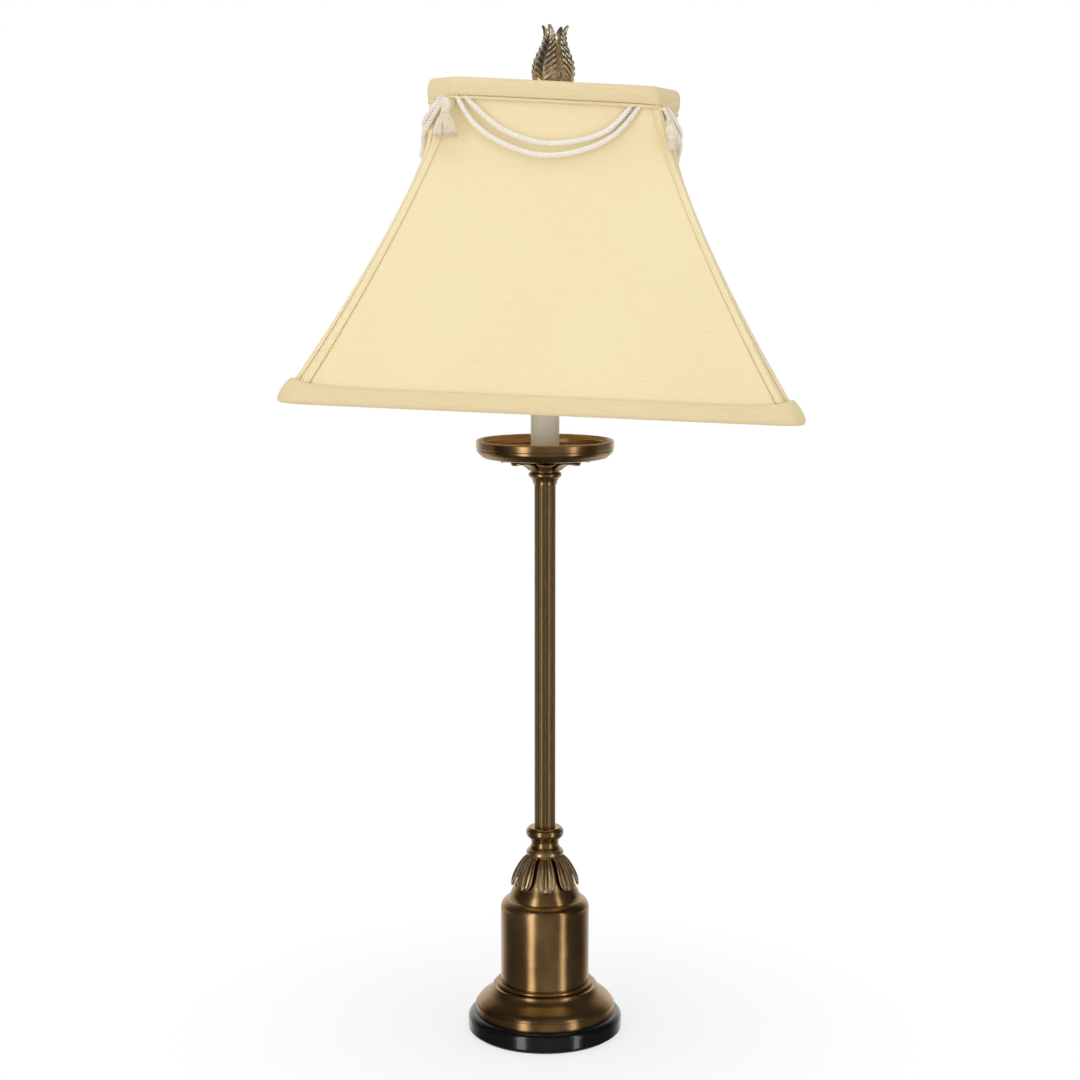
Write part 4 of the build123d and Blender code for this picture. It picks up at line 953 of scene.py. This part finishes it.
def collarSurface(point, normal):
    # three raised ridges down each leaf between its rolled edges
    fall = (collarSet["root"][1] - point.z) / collarSet["drop"]
    plainEnd, rows = collarSet["plainEnd"], collarSet["rows"]
    if fall < plainEnd or fall > 1.0:
        return (collarSet["rootMark"] if fall < plainEnd else 1.0), 0.0
    (f0, w0), (f1, w1) = next(pair for pair in zip(rows, rows[1:]) if fall <= pair[1][0])
    width = w0 + (w1 - w0) * (fall - f0) / (f1 - f0)
    pitch = 2 * math.pi / collarSet["leaves"]
    turn = (math.atan2(point.y, point.x) + pitch / 2) % pitch - pitch / 2
    across = abs(point.xy.length * math.sin(turn)) / (width * collarSet["width"] / 2)
    outward = Vector((point.x, point.y, collarSet["rise"])).normalized()
    share = rampBetween(normal.dot(outward), *collarSet["facing"])
    share *= rampBetween(1.0 - fall, plainEnd, collarSet["tipFade"])
    wave = 0.5 + 0.5 * math.cos(2 * math.pi * across / collarSet["ridge"])
    return wave * share + (1 - share) * collarSet["plain"], (wave * 2 - 1) * collarSet["depth"] * share


recast("finial", "finialLeaves", 0.42, litFinialBrass, "finial", finialSurface)
recast("leaf_collar", "collarLeaves", 0.40, collarBrass, "stand", collarSurface)
print("castings chased")


tasselSet = {   # millimetres; a tassel hangs from its own origin, its face towards -Y
    "height": 2.8,
    "stand": 9.6,              # from the silk to the tassel's middle
    "flared": {"length": 28.0, "width": 21.0, "depth": 7.0, "threads": 210, "thread": 0.34},
    "slim": {"length": 19.0, "width": 8.0, "depth": 5.0, "threads": 120, "thread": 0.32},
    "tie": 0.75,               # radius of the string
    "tieStart": (2.1, -1.0),   # in from the stand, and height
    "seed": 7,
}
headSet = {
    "profile": [(0.9, 0.3), (1.9, -0.4), (2.7, -1.6), (3.3, -3.0), (3.6, -4.6), (3.5, -6.2), (3.1, -7.6),
                (2.75, -8.6), (2.75, -10.6)],   # radius and height
    "ridges": 15,
    "perRidge": 6,
    "swell": 0.075,            # of a ridge, as a share of the radius
    "twist": 0.25,             # radians for each millimetre of height
    "mapStep": 1.3,
}
bindingSet = {
    "turns": 5, "perTurn": 22, "radius": 3.05, "top": -8.3, "height": 2.0, "thread": 0.42, "sides": 6,
}
skirtSet = {
    "top": -10.0,
    "neck": 2.7,
    "spreadPower": 1.25,
    "core": {"rows": 6, "sides": 28, "length": 0.93, "spread": 0.82, "mapStep": (0.3, 2.5)},
    "outer": (5, 4),           # of every 5 threads, 4 lie on the outside
    "inner": (0.3, 0.9),       # and the fifth within these shares of the spread
    "vary": (0.9, 1.02),
    "pitch": 2.399963,         # radians from one thread to the next, the golden angle
    "stray": 0.05,
    "lean": 0.10,
    "cut": (0.93, 1.0),        # share of the length at which a thread ends
    "wave": ((0.28, 1.1), (0.22, 1.3)),   # size and radians a step, along the width and the depth
    "waveTurn": 6.28,
    "steps": 7,
    "sides": 4,
}
slimSet = {   # the slim tassel, on a string and a small loop
    "extra": 1.6,              # further out than a flared one
    "start": -1.2,
    "sway": 32,                # degrees
    "string": 7.6,
    "bow": 0.4,
    "bend": (2.0, 0.6),        # the tie's middle, out and height
    "knot": {"heights": (1.2, 0.9, 0.35, -0.35, -0.9, -1.2), "least": 0.25, "radius": 1.15, "sides": 10},
    "loop": {"radius": 2.1, "thread": 0.85, "place": (0.5, -1.7), "steps": 24},
    "hang": (0.8, -3.3),       # where the head hangs, past the string's end
    "lean": -12,               # degrees
}
flaredSet = {"side": 0.8, "bend": (3.0, 0.8), "end": (0.6, -0.6)}   # two strings, side by side
chance = random.Random(tasselSet["seed"])


def tasselHead(build, hang):
    # yarn gathered over a core, with a binding thread wound round the neck
    ridges, perRidge = headSet["ridges"], headSet["perRidge"]
    count = ridges * perRidge
    rings = []
    for radius, height in headSet["profile"]:
        ring = []
        for k in range(count):
            angle = 2 * math.pi * k / count
            grown = radius * (1 + headSet["swell"] * math.cos(angle * ridges + height * headSet["twist"]))
            ring.append(hang @ Vector((grown * math.cos(angle), grown * math.sin(angle), height)))
        rings.append(ring)
    addGrid(build, rings, True, False, True, (1 / perRidge, headSet["mapStep"]))
    turns, perTurn, radius = bindingSet["turns"], bindingSet["perTurn"], bindingSet["radius"]
    line = []
    for k in range(turns * perTurn + 1):
        angle = 2 * math.pi * k / perTurn
        height = bindingSet["top"] - bindingSet["height"] * k / (turns * perTurn)
        line.append(hang @ Vector((radius * math.cos(angle), radius * math.sin(angle), height)))
    addTube(build, line, bindingSet["thread"], bindingSet["sides"])


def tasselSkirt(build, hang, values):
    # cut threads over a soft core, spread towards the hem
    length, width, depth = values["length"], values["width"] / 2, values["depth"] / 2
    top, neck, core = skirtSet["top"], skirtSet["neck"], skirtSet["core"]

    def placeAt(share, spread, angle):
        fall = 1 - (1 - share) ** skirtSet["spreadPower"]
        wide = neck + (width - neck) * fall
        deep = neck + (depth - neck) * fall
        height = top - (length + top) * share
        return Vector((wide * spread * math.cos(angle), deep * spread * math.sin(angle), height))

    rings = []
    for row in range(core["rows"] + 1):
        share = row / core["rows"] * core["length"]
        angles = [2 * math.pi * k / core["sides"] for k in range(core["sides"])]
        rings.append([hang @ placeAt(share, core["spread"], angle) for angle in angles])
    addGrid(build, rings, True, False, True, core["mapStep"])
    group, outer = skirtSet["outer"]
    (waveX, stepX), (waveY, stepY) = skirtSet["wave"]
    for number in range(values["threads"]):
        spread = 1.0 if number % group < outer else chance.uniform(*skirtSet["inner"])
        spread *= chance.uniform(*skirtSet["vary"])
        angle = number * skirtSet["pitch"] + chance.uniform(-skirtSet["stray"], skirtSet["stray"])
        wave = chance.uniform(0, skirtSet["waveTurn"])
        lean = chance.uniform(-skirtSet["lean"], skirtSet["lean"])
        whole = chance.uniform(*skirtSet["cut"])
        line = []
        for step in range(skirtSet["steps"] + 1):
            share = step / skirtSet["steps"] * whole
            place = placeAt(share, spread, angle + lean * share)
            place.x += waveX * math.sin(wave + step * stepX) * share
            place.y += waveY * math.cos(wave + step * stepY) * share
            line.append(hang @ place)
        addTube(build, line, values["thread"], skirtSet["sides"], turnStart=wave)


def addString(build, points, steps=6):
    # a string that bends once, through three points
    a, b, c = (Vector(point) for point in points)
    shares = [step / steps for step in range(steps + 1)]
    line = [a * (1 - t) ** 2 + b * 2 * t * (1 - t) + c * t * t for t in shares]
    addTube(build, line, tasselSet["tie"], 8)


def addSlimString(build, tieStart):
    # a tie from the seam, a knot, the swaying string, a second knot and the loop; returns the string's end
    sway = math.radians(slimSet["sway"])
    start = Vector((0, 0, slimSet["start"]))
    end = start + Vector((math.sin(sway), 0, -math.cos(sway))) * slimSet["string"]
    addString(build, [tieStart, (0, *slimSet["bend"]), start])
    addString(build, [start, (start + end) / 2 + Vector((slimSet["bow"], 0, 0)), end])
    knot, loop = slimSet["knot"], slimSet["loop"]
    for place in (start, end):
        addTube(build, [place + Vector((0, 0, z)) for z in knot["heights"]],
                lambda share: knot["least"] + knot["radius"] * math.sin(math.pi * share), knot["sides"])
    x, z, radius = end.x + loop["place"][0], end.z + loop["place"][1], loop["radius"]
    angles = [2 * math.pi * k / loop["steps"] for k in range(loop["steps"])]
    ring = [Vector((x + radius * math.cos(a), 0, z + radius * math.sin(a))) for a in angles]
    addTube(build, ring, loop["thread"], 8, closed=True)
    return end


def makeTassel(node, sideX, sideY, slim):
    stand = tasselSet["stand"] + (slimSet["extra"] if slim else 0.0)
    outward = Vector((sideX, sideY * (1 + math.sqrt(2)), 0)).normalized()
    rib = ribPlaces(tasselSet["height"])[0]
    anchor = Vector((sideX * rib[0], sideY * rib[1], tasselSet["height"])) + outward * stand
    turn = math.atan2(outward.y, outward.x) + math.pi / 2
    frameMm = seatFrame @ Matrix.Translation(anchor) @ Matrix.Rotation(turn, 4, "Z")
    build = newBuild()
    back, tieHeight = stand - tasselSet["tieStart"][0], tasselSet["tieStart"][1]
    if slim:
        end = addSlimString(build, (0, back, tieHeight))
        place = (end.x + slimSet["hang"][0], end.y, end.z + slimSet["hang"][1])
        hang = Matrix.Translation(place) @ Matrix.Rotation(math.radians(slimSet["lean"]), 4, "Y")
    else:
        inner, low = flaredSet["end"]
        for side in (-flaredSet["side"], flaredSet["side"]):
            addString(build, [(side, back, tieHeight), (side, *flaredSet["bend"]), (side * inner, 0, low)])
        hang = Matrix.Identity(4)
    tasselHead(build, hang)
    tasselSkirt(build, hang, tasselSet["slim" if slim else "flared"])
    makePiece(camelName(node) + "Yarn", build, tasselYarn, node, frameMm, [node])


for node, sideX, sideY, slim in (
    ("tassel_front_left", -1, -1, False), ("tassel_front_right", 1, -1, True),
    ("tassel_back_left", -1, 1, True), ("tassel_back_right", 1, 1, False),
):
    makeTassel(node, sideX, sideY, slim)
print("tassels tied")
